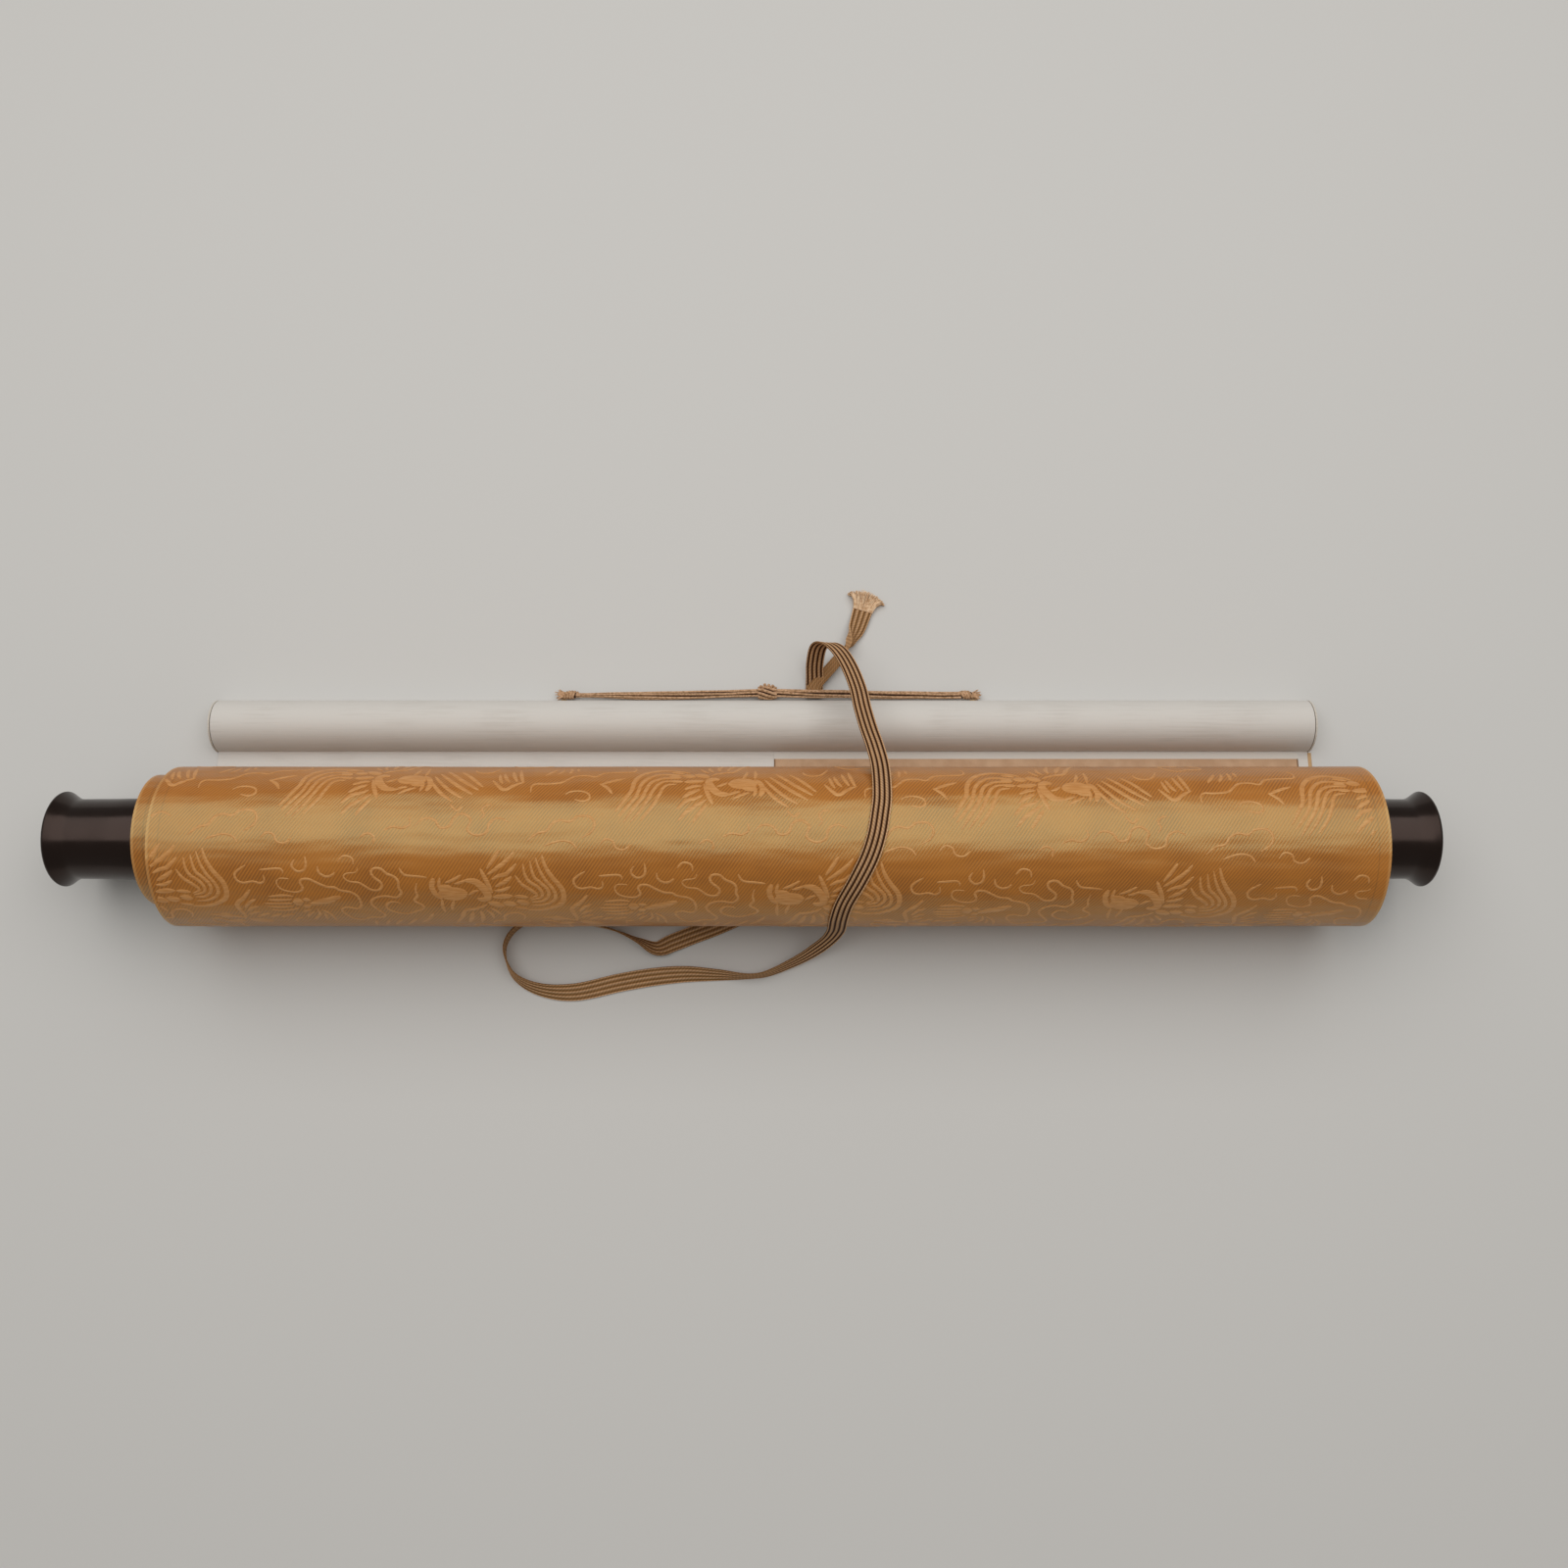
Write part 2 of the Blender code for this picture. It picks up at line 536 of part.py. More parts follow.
def make_eyes(drilled):
    """Wire eyes, with holes for them through the silk and into the stave."""
    eyes = []
    for name, place_x in zip(("cord_eye_left", "cord_eye_right"), EYE_PLACES):
        path = staple_path(place_x)
        brass = finish(0.5, 0.3, 0.1, 0.3, 1.0)
        eyes.append(add_object(name, sweep(path, EYE_WIRE_RADIUS, EYE_SIDES), brass))
        drill = add_object(
            name + "_drill",
            sweep(path, EYE_WIRE_RADIUS + EYE_CLEARANCE, EYE_SIDES),
            finish(0.5, 0.5, 0.5, 0.5),
        )
        drill.hide_render = True
        drill.display_type = "WIRE"
        for item in drilled:
            cut = item.modifiers.new("eye holes", "BOOLEAN")
            cut.operation = "DIFFERENCE"
            cut.object = drill
    return eyes


def make_stave():
    half = STAVE_LENGTH / 2.0
    return prism(
        "stave",
        d_section(0.0, STAVE_LOW),
        STAVE_SHIFT - half,
        STAVE_SHIFT + half,
        finish(0.5, 0.36, 0.2, 0.6),
    )


def make_stave_ends():
    """A patch of silk over each end of the wrapped stave."""
    ends = []
    for name, side in (("stave_end_left", -1.0), ("stave_end_right", 1.0)):
        near = STAVE_SHIFT + side * (STAVE_LENGTH / 2.0 + SEAT_GAP)
        far = near + side * STAVE_END_THICKNESS
        ends.append(prism(
            name, d_section(WRAP_OUTER, 0.0), near, far, finish(0.6, 0.5, 0.36, 0.7)
        ))
    return ends


def smooth_route(points, spacing):
    """Evenly spaced points on a smooth curve through the route's own points."""
    dense = []
    ends = [points[0]] + list(points) + [points[-1]]
    for before, start, end, after in zip(ends, ends[1:], ends[2:], ends[3:]):
        for step in range(CURVE_STEPS):
            t = step / CURVE_STEPS
            dense.append(tuple(
                0.5 * (
                    2.0 * b + (c - a) * t
                    + (2.0 * a - 5.0 * b + 4.0 * c - d) * t * t
                    + (3.0 * b - a - 3.0 * c + d) * t * t * t
                )
                for a, b, c, d in zip(before, start, end, after)
            ))
    dense.append(tuple(points[-1]))
    reached = [0.0]
    for first, second in zip(dense, dense[1:]):
        reached.append(reached[-1] + math.dist(first[:3], second[:3]))
    count = max(round(reached[-1] / spacing), 2)
    spaced, k = [], 0
    for step in range(count + 1):
        goal = reached[-1] * step / count
        while k < len(dense) - 2 and reached[k + 1] < goal:
            k += 1
        share = (goal - reached[k]) / (reached[k + 1] - reached[k])
        spaced.append(tuple(a + (b - a) * share for a, b in zip(dense[k], dense[k + 1])))
    return spaced, reached[-1]


def make_hanging_cord():
    """Bunched cord along the back of the stave, from one end knot to the other."""
    points, length = smooth_route(CORD_ROUTE, CORD_SPACING)
    curve = bpy.data.curves.new("hanging_cord", "CURVE")
    curve.dimensions = "3D"
    curve.bevel_depth = CORD_RADIUS
    curve.bevel_resolution = 2
    curve.use_fill_caps = True
    spline = curve.splines.new("POLY")
    spline.points.add(len(points) - 1)
    for slot, point in zip(spline.points, points):
        slot.co = (*point, 1.0)
    material = finish(0.2, 0.12, 0.07, 0.8)
    material.name = "hanging_cord"
    curve.materials.append(material)
    cord = bpy.data.objects.new("hanging_cord", curve)
    bpy.context.scene.collection.objects.link(cord)
    print("hanging cord length", round(length, 4))
    return cord


def knot_outline(radius):
    """The outside of a wrapped knot: a barrel with a groove between its wraps."""
    outline = []
    count = KNOT_WRAPS * 3
    for step in range(count + 1):
        share = step / count
        barrel = KNOT_TIP_SHARE + (1.0 - KNOT_TIP_SHARE) * math.sin(math.pi * share) ** 0.5
        groove = KNOT_GROOVE_SHARE * (0.5 + 0.5 * math.cos(TURN * KNOT_WRAPS * share))
        outline.append(((share - 0.5) * KNOT_LENGTH, radius * barrel * (1.0 - groove)))
    return outline


def make_knots():
    """Wrapped knots: one at each wire eye, and a lashing that the cord runs through."""
    half = KNOT_LENGTH / 2.0
    knots = []
    for name, place_x in zip(("cord_knot_left", "cord_knot_right"), EYE_PLACES):
        profile = [(-half, 0.0)] + knot_outline(END_KNOT_RADIUS) + [(half, 0.0)]
        knot = add_object(name, turned_about_x(profile, KNOT_STEPS), finish(0.26, 0.17, 0.1, 0.85))
        back = silk_back() + EYE_PROUD + SEAT_GAP + END_KNOT_RADIUS
        place(knot, (place_x, back, END_KNOT_RADIUS + SEAT_GAP))
        knots.append(knot)
    bore = CORD_RADIUS + SEAT_GAP
    outline = [(x, max(r, bore + SEAT_GAP)) for x, r in knot_outline(MIDDLE_KNOT_RADIUS)]
    profile = [(half, bore), (-half, bore)] + outline
    knot = add_object(
        "cord_knot_middle", turned_about_x(profile, KNOT_STEPS), finish(0.3, 0.2, 0.12, 0.85)
    )
    middle = min(CORD_ROUTE, key=lambda point: abs(point[0] - MIDDLE_KNOT_AT))
    place(knot, middle)
    knots.append(knot)
    return knots


def ribbon_frames():
    """Points on the ribbon's route, each with its direction and the direction across it."""
    rows = [place_at + face for place_at, face in zip(RIBBON_ROUTE[::2], RIBBON_ROUTE[1::2])]
    points, length = smooth_route(rows, RIBBON_SPACING)
    frames = []
    for i, row in enumerate(points):
        before, after = points[max(i - 1, 0)], points[min(i + 1, len(points) - 1)]
        along = (Vector(after[:3]) - Vector(before[:3])).normalized()
        across = along.cross(Vector(row[3:])).normalized()
        frames.append((Vector(row[:3]), along, across, across.cross(along)))
    return frames, length


def make_ribbon():
    """Flat woven ribbon, as a band of its real width along its route."""
    frames, length = ribbon_frames()
    builder = bmesh.new()
    half_width, half_thick = RIBBON_WIDTH / 2.0, RIBBON_THICKNESS / 2.0
    rings = [
        [
            builder.verts.new(middle + across * (half_width * u) + face * (half_thick * v))
            for u, v in ((-1, -1), (1, -1), (1, 1), (-1, 1))
        ]
        for middle, along, across, face in frames
    ]
    bridge_rings(builder, rings)
    print("tie ribbon length", round(length, 4))
    return add_object("tie_ribbon", builder, finish(0.22, 0.14, 0.08, 0.75))


def make_tuft():
    """The ribbon's frayed end, where its threads have fanned out."""
    frames, _ = ribbon_frames()
    middle, along, across, face = frames[-1]
    along = Vector((along.x, along.y, 0.0)).normalized()
    across = Vector((along.y, -along.x, 0.0))
    start = middle + along * SEAT_GAP
    builder = bmesh.new()
    rings = []
    for far, wide, high in zip(TUFT_LENGTH_SHARES, TUFT_WIDTH_SHARES, TUFT_HEIGHT_SHARES):
        centre = start + along * (TUFT_LENGTH * far)
        half_high = TUFT_HEIGHT * high / 2.0
        centre.z = max(middle.z, half_high + SEAT_GAP)
        rings.append([
            builder.verts.new(
                centre
                + across * (TUFT_WIDTH / 2.0 * wide * math.cos(TURN * k / TUFT_STEPS))
                + Vector((0.0, 0.0, half_high * math.sin(TURN * k / TUFT_STEPS)))
            )
            for k in range(TUFT_STEPS)
        ])
    bridge_rings(builder, rings)
    return add_object("ribbon_tuft", builder, finish(0.36, 0.25, 0.15, 0.9))


def main():
    clear_scene()
    make_roller()
    make_knobs()
    sheet = make_sheet()
    make_cover()
    make_panel()
    stave = make_stave()
    make_stave_ends()
    make_eyes([sheet, stave])
    make_hanging_cord()
    make_knots()
    make_ribbon()
    make_tuft()


main()
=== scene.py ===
# %% [markdown]
# # A rolled hanging scroll
# The real object is a long paper sheet faced with white silk, wound on a wooden roller with a
# black lacquered knob at each end. Orange damask is pasted on the back of its outer turns. The
# top end lies a little unrolled and holds a half-round stave, with a hanging cord along its
# back and a flat cotton tie ribbon hooked under the cord.
#
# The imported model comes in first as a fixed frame. Every piece made here sits in that frame, in
# metres, and most of them stand for one of its nodes.

# %% Load the frame
import math

import bmesh
import bpy
from mathutils import Matrix, Vector, noise


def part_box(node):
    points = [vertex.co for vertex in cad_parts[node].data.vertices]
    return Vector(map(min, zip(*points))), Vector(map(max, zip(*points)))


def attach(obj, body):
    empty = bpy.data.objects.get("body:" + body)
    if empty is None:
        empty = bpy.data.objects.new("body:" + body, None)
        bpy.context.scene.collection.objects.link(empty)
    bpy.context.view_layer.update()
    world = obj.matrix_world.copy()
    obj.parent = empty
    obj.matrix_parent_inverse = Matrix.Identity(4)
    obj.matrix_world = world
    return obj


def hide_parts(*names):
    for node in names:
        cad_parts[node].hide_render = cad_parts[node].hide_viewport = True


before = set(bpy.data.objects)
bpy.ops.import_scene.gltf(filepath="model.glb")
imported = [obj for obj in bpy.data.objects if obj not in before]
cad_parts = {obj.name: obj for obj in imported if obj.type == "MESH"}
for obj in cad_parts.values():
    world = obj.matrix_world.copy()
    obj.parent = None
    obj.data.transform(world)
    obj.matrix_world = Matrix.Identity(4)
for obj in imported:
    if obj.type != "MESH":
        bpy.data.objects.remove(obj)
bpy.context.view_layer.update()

# %% [markdown]
# ## Camera
# The photograph looks almost straight down on the roll, from a hand's height in front of it. A
# camera placed at that spot, with a phone's wide lens, gives the same foreshortening of the
# knobs and shows the white tail behind the roll only as a strip.

# %% Camera
MM = 0.001
TURN = 2.0 * math.pi


def deselect():
    """Leaves edit mode and deselects every object, so that the next operator acts alone."""
    if bpy.context.mode != "OBJECT":
        bpy.ops.object.mode_set(mode="OBJECT")
    bpy.ops.object.select_all(action="DESELECT")


deselect()
bpy.ops.object.camera_add(location=(0.0135, -0.0815, 0.470), rotation=(math.radians(12.95), 0, 0))
camera = bpy.context.object
camera.name = "camera"
camera.data.lens = 31.5
camera.data.sensor_width = 36.0
camera.data.clip_start = 0.01
bpy.context.scene.camera = camera
print("camera lens:", camera.data.lens)

# %% [markdown]
# ## Colours, nodes and materials
# Colours are picked in sRGB, as a paint chart shows them, and the shader wants linear values, so
# one function converts them. Another adds a node with its settings and links in one line, which
# keeps each material short enough to read as a recipe.

# %% Colour, node and material helpers


def colour(code):
    """The linear colour of an sRGB hex code."""
    parts = [int(code[i:i + 2], 16) / 255.0 for i in (1, 3, 5)]
    return tuple(p / 12.92 if p <= 0.04045 else ((p + 0.055) / 1.055) ** 2.4 for p in parts) + (1.0,)


def new_material(name, values):
    """A material whose plain values are set on the shader's own sockets."""
    material = bpy.data.materials.new(name)
    material.use_nodes = True
    for socket, value in values.items():
        material.node_tree.nodes["Principled BSDF"].inputs[socket].default_value = value
    return material, material.node_tree


def link(material, sources):
    """Links sockets to the material's shader, and hands the material back."""
    tree = material.node_tree
    for socket, source in sources.items():
        tree.links.new(source, tree.nodes["Principled BSDF"].inputs[socket])
    return material


def add_node(tree, kind, inputs, **settings):
    """Adds a node. Each input is given a value, or another node's socket to link from."""
    node = tree.nodes.new(kind)
    for name, value in settings.items():
        setattr(node, name, value)
    for socket, source in inputs.items():
        if isinstance(source, bpy.types.NodeSocket):
            tree.links.new(source, node.inputs[socket])
        else:
            node.inputs[socket].default_value = source
    return node


print("white silk is", [round(value, 3) for value in colour("#D9D3C9")])

# %% [markdown]
# ## Textures
# Each of these functions adds one kind of node and gives back its socket. A material then reads
# as a recipe: a place on the piece, a pattern there, and what it does to the colour and the bump.

# %% Texture helpers


def object_place(tree):
    """The place on the piece, in metres."""
    return add_node(tree, "ShaderNodeTexCoord", {}).outputs["Object"]


def flat_place(tree):
    """A cloth's own UV map, which is in metres."""
    return add_node(tree, "ShaderNodeUVMap", {}).outputs[0]


def axes(tree, place):
    """The X, Y and Z sockets of a place."""
    return add_node(tree, "ShaderNodeSeparateXYZ", {0: place}).outputs


def calc(tree, operation, *values):
    """One step of arithmetic on sockets or numbers."""
    return add_node(tree, "ShaderNodeMath", dict(enumerate(values)), operation=operation).outputs[0]


def rescale(tree, value, low, high, to_low, to_high):
    """Moves a value from one range to another."""
    return add_node(tree, "ShaderNodeMapRange", {0: value, 1: low, 2: high, 3: to_low, 4: to_high}).outputs[0]


def grain(tree, place, scale, detail, stretch=None):
    """Noise, which a stretch draws out along one axis."""
    if stretch:
        place = add_node(tree, "ShaderNodeMapping", {0: place, "Scale": stretch}).outputs[0]
    return add_node(tree, "ShaderNodeTexNoise", {"Vector": place, "Scale": scale, "Detail": detail}).outputs[0]


def stripes(tree, place, apart, axis, degrees=0.0, distortion=0.0, detail=2.0, detail_scale=1.0):
    """Soft stripes a real distance apart along an axis, turned by an angle."""
    if degrees:
        turn = (0.0, 0.0, math.radians(degrees))
        place = add_node(tree, "ShaderNodeMapping", {0: place, "Rotation": turn}).outputs[0]
    return add_node(tree, "ShaderNodeTexWave", {
        "Vector": place, "Scale": TURN / 20.0 / apart, "Distortion": distortion,
        "Detail": detail, "Detail Scale": detail_scale,
    }, wave_type="BANDS", bands_direction=axis).outputs[1]


def ramp(tree, value, stops):
    """The colour and the alpha of a colour ramp with (position, colour) stops."""
    node = add_node(tree, "ShaderNodeValToRGB", {0: value})
    elements = node.color_ramp.elements
    while len(elements) > 1:
        elements.remove(elements[-1])
    elements[0].position, elements[0].color = stops[0]
    for position, shade in stops[1:]:
        elements.new(position).color = shade
    return tuple(node.outputs)


def shades(tree, value, low, dark, high, light):
    """A ramp from a dark colour to a light one."""
    return ramp(tree, value, [(low, colour(dark)), (high, colour(light))])[0]


def blend(tree, share, under, over, how="MIX"):
    """One colour over another, by a share of it."""
    return add_node(tree, "ShaderNodeMix", {
        0: share, 6: under, 7: over,
    }, data_type="RGBA", blend_type=how).outputs[2]


def bumps(tree, height, strength, distance, below=None):
    """A bump, on top of another one if there is one below."""
    inputs = {"Strength": strength, "Distance": distance, "Height": height}
    if below is not None:
        inputs["Normal"] = below
    return add_node(tree, "ShaderNodeBump", inputs).outputs[0]


def uneven(name, values, dark, light, scale, detail, stretch=None, high=0.65, relief=None):
    """A material whose colour wanders between two shades, with a bump to match."""
    material, tree = new_material(name, values)
    spots = grain(tree, object_place(tree), scale, detail, stretch)
    sources = {"Base Color": shades(tree, spots, 0.35, dark, high, light)}
    if relief:
        sources["Normal"] = bumps(tree, spots, *relief)
    return link(material, sources)


print("stripes 1 mm apart have a wave scale of", round(TURN / 20.0 / MM, 1))

# %% [markdown]
# ## Routes
# A ribbon or a cord keeps its width while it bends, so it is made by carrying a cross-section
# along a route. The route is a short list of given places, and a Catmull-Rom curve
# runs smoothly through them, with its points evenly spaced.

# %% Smooth routes


def smooth_route(points, spacing, steps=24):
    """Evenly spaced points on a smooth curve through the route's own points, and its length."""
    dense = []
    ends = [points[0]] + list(points) + [points[-1]]
    for before, start, end, after in zip(ends, ends[1:], ends[2:], ends[3:]):
        for step in range(steps):
            t = step / steps
            dense.append(tuple(
                0.5 * (2.0 * b + (c - a) * t + (2.0 * a - 5.0 * b + 4.0 * c - d) * t * t
                       + (3.0 * b - a - 3.0 * c + d) * t * t * t)
                for a, b, c, d in zip(before, start, end, after)
            ))
    dense.append(tuple(points[-1]))
    reached = [0.0]
    for first, second in zip(dense, dense[1:]):
        reached.append(reached[-1] + math.dist(first[:3], second[:3]))
    count = max(round(reached[-1] / spacing), 2)
    spaced, k = [], 0
    for step in range(count + 1):
        goal = reached[-1] * step / count
        while k < len(dense) - 2 and reached[k + 1] < goal:
            k += 1
        share = (goal - reached[k]) / max(reached[k + 1] - reached[k], 1e-9)
        spaced.append(tuple(a + (b - a) * share for a, b in zip(dense[k], dense[k + 1])))
    return spaced, reached[-1]


def smooth_step(value):
    """Eases from 0 to 1 as the value does."""
    value = min(max(value, 0.0), 1.0)
    return value * value * (3.0 - 2.0 * value)


print("a straight 10 mm route has", len(smooth_route([(0, 0, 0), (0.01, 0, 0)], 0.001)[0]), "points")

# %% Swept pieces


def pick(piece):
    """Makes a piece the only selected one, and the active one."""
    deselect()
    piece.select_set(True)
    bpy.context.view_layer.objects.active = piece


def mesh_piece(name, builder, material):
    """Turns built faces into a finished piece at the origin, facing outwards and smooth."""
    bmesh.ops.recalc_face_normals(builder, faces=builder.faces)
    mesh = bpy.data.meshes.new(name)
    builder.to_mesh(mesh)
    builder.free()
    piece = bpy.data.objects.new(name, mesh)
    bpy.context.scene.collection.objects.link(piece)
    mesh.materials.append(material)
    pick(piece)
    bpy.ops.object.shade_smooth_by_angle(angle=math.radians(60))
    print(name, "faces:", len(mesh.polygons))
    return piece


def sweep(builder, rings, v_places, u_places=None):
    """Skins closed rings of points and caps both ends. UV is (round the ring, along)."""
    layer = builder.loops.layers.uv.verify()
    made = [[builder.verts.new(point) for point in ring] for ring in rings]
    count = len(made[0])
    around = u_places or [k / count for k in range(count + 1)]
    for i in range(len(made) - 1):
        for k in range(count):
            n = (k + 1) % count
            face = builder.faces.new((made[i][k], made[i][n], made[i + 1][n], made[i + 1][k]))
            places = ((around[k], v_places[i]), (around[k + 1], v_places[i]),
                      (around[k + 1], v_places[i + 1]), (around[k], v_places[i + 1]))
            for loop, place in zip(face.loops, places):
                loop[layer].uv = place
    for ring, v in ((made[0], v_places[0]), (made[-1], v_places[-1])):
        for loop in builder.faces.new(ring).loops:
            loop[layer].uv = (0.0, v)


def steps_along(count, step=1.0 * MM):
    """Even steps of the UV map along a strand."""
    return [step * k for k in range(count)]


def add_tube(builder, points, radius, sides, v_places=None):
    """Sweeps a round ring along a path, turned as little as possible from place to place."""
    rings, across = [], None
    for i, point in enumerate(points):
        along = (points[min(i + 1, len(points) - 1)] - points[max(i - 1, 0)]).normalized()
        if across is None:
            across = along.orthogonal().normalized()
        across = (across - along * across.dot(along)).normalized()
        other = along.cross(across)
        wide = radius(i / (len(points) - 1)) if callable(radius) else radius
        rings.append([
            point + (across * math.cos(TURN * k / sides) + other * math.sin(TURN * k / sides)) * wide
            for k in range(sides)
        ])
    sweep(builder, rings, v_places or steps_along(len(points)))


def add_strand(builder, start, place_of, steps, radius, sides):
    """A tube whose middle is given, from a start, by a function of the share of its length."""
    add_tube(builder, [start + Vector(place_of(k / steps)) for k in range(steps + 1)], radius, sides)


print("a sweep's UV steps along a short strand:", steps_along(3))

# %% [markdown]
# ## Tie ribbon
# The real ribbon is a flat cotton braid about 6 mm wide: three broad cords and two thin ones at
# its edges, woven side by side on a dark ground. It is tucked under the roll, loops in front,
# runs up over the roll, hooks under the hanging cord and ends in a frayed tuft.
#
# A plain band would look like paper tape, so its cross-section has the five ribs. The twist of
# the yarns is too small to model, and it comes from slanting stripes in the material. The UV map
# runs across each face in the same way, so one colour ramp paints both. Along the loop in front,
# by the hook and near the end, the dark ground in the grooves is painted paler.

# %% Cotton braid material
RIBBON_WIDTH = 6.2 * MM
RIBBON_THICKNESS = 0.6 * MM
RIB_WIDTHS = (0.45, 0.98, 0.98, 0.98, 0.45)   # millimetres, with a groove between each two
GROOVE_WIDTH = 0.59
# Place along the ribbon in metres, how far the dark ground of its grooves is painted paler there, and how plain
# it looks.
GROOVE_PALING_PLACES = [
    (0.0, 0.8, 0.0), (0.185, 0.8, 0.0), (0.215, 0.0, 0.0), (0.3991, 0.0, 0.0), (0.3999, 1.0, 0.75),
    (0.424, 1.0, 0.75), (0.429, 0.6, 0.0),
]


def braid_stops():
    """Colours across the braid. Each rib is painted darker at its sides than on its crown, as painted shade of
    its rounding. The dark ground in its grooves has alpha 0.
    """
    rib, edge, groove = colour("#D8AE86"), colour("#A67C52"), colour("#3A1D0C")[:3] + (0.0,)
    total, place, stops = RIBBON_WIDTH / MM, 0.0, []
    for number, width in enumerate(RIB_WIDTHS):
        # A rib's sides get the darker tan, painted shade of its rounding, and its crown gets its own colour.
        stops += [((place + 0.08) / total, edge), ((place + width / 2.0) / total, rib)]
        place += width
        if number < len(RIB_WIDTHS) - 1:
            stops += [((place + 0.1) / total, groove), ((place + GROOVE_WIDTH - 0.1) / total, groove)]
            place += GROOVE_WIDTH
    return stops


def braid_material():
    """Mercerised cotton braid: tan ribs of twisted yarn, with a dark brown ground between them."""
    material, tree = new_material("woven_cotton_braid", {
        "Roughness": 0.6, "Specular IOR Level": 0.07, "Specular Tint": colour("#F2CDA8"),
    })
    uv = flat_place(tree)
    parts = axes(tree, uv)
    painted, shown = ramp(tree, calc(tree, "DIVIDE", parts[0], RIBBON_WIDTH), braid_stops())
    # How far the dark ground is painted paler, and how plain the ribbon looks, at each place along it.
    closed, plain = ramp(tree, calc(tree, "DIVIDE", parts[1], ribbon_length), [
        (place / ribbon_length, (paling, paling, paling, plainness)) for place, paling, plainness in GROOVE_PALING_PLACES
    ])
    paled_grooves = calc(tree, "MULTIPLY", calc(tree, "SUBTRACT", 1.0, shown), closed)
    ribs = blend(tree, paled_grooves, painted, colour("#9C7348"))
    ribs = blend(tree, plain, ribs, colour("#A27950"))
    # Yarn twist: stripes 0.55 mm apart in the braid, drawn at 0.9 mm so that they show.
    twist = stripes(tree, uv, 0.9 * MM, "Y", 38, 1.2, 2.0, 1.5)
    mixed = calc(tree, "ADD", twist, grain(tree, uv, 260.0, 4.0))
    shade = rescale(tree, mixed, 0.4, 1.5, 0.74, 1.12)
    # Each rib is a pair of plied yarns, so a thin line runs down its middle: one every 0.785 mm.
    lines = rescale(tree, stripes(tree, uv, 0.785 * MM, "X"), 0.0, 0.3, 0.62, 1.0)
    tint = blend(tree, 1.0, ribs, calc(tree, "MULTIPLY", shade, lines), "MULTIPLY")
    return link(material, {"Base Color": tint, "Normal": bumps(tree, mixed, 0.5, 0.12 * MM)})


print("braid ribs:", RIB_WIDTHS)

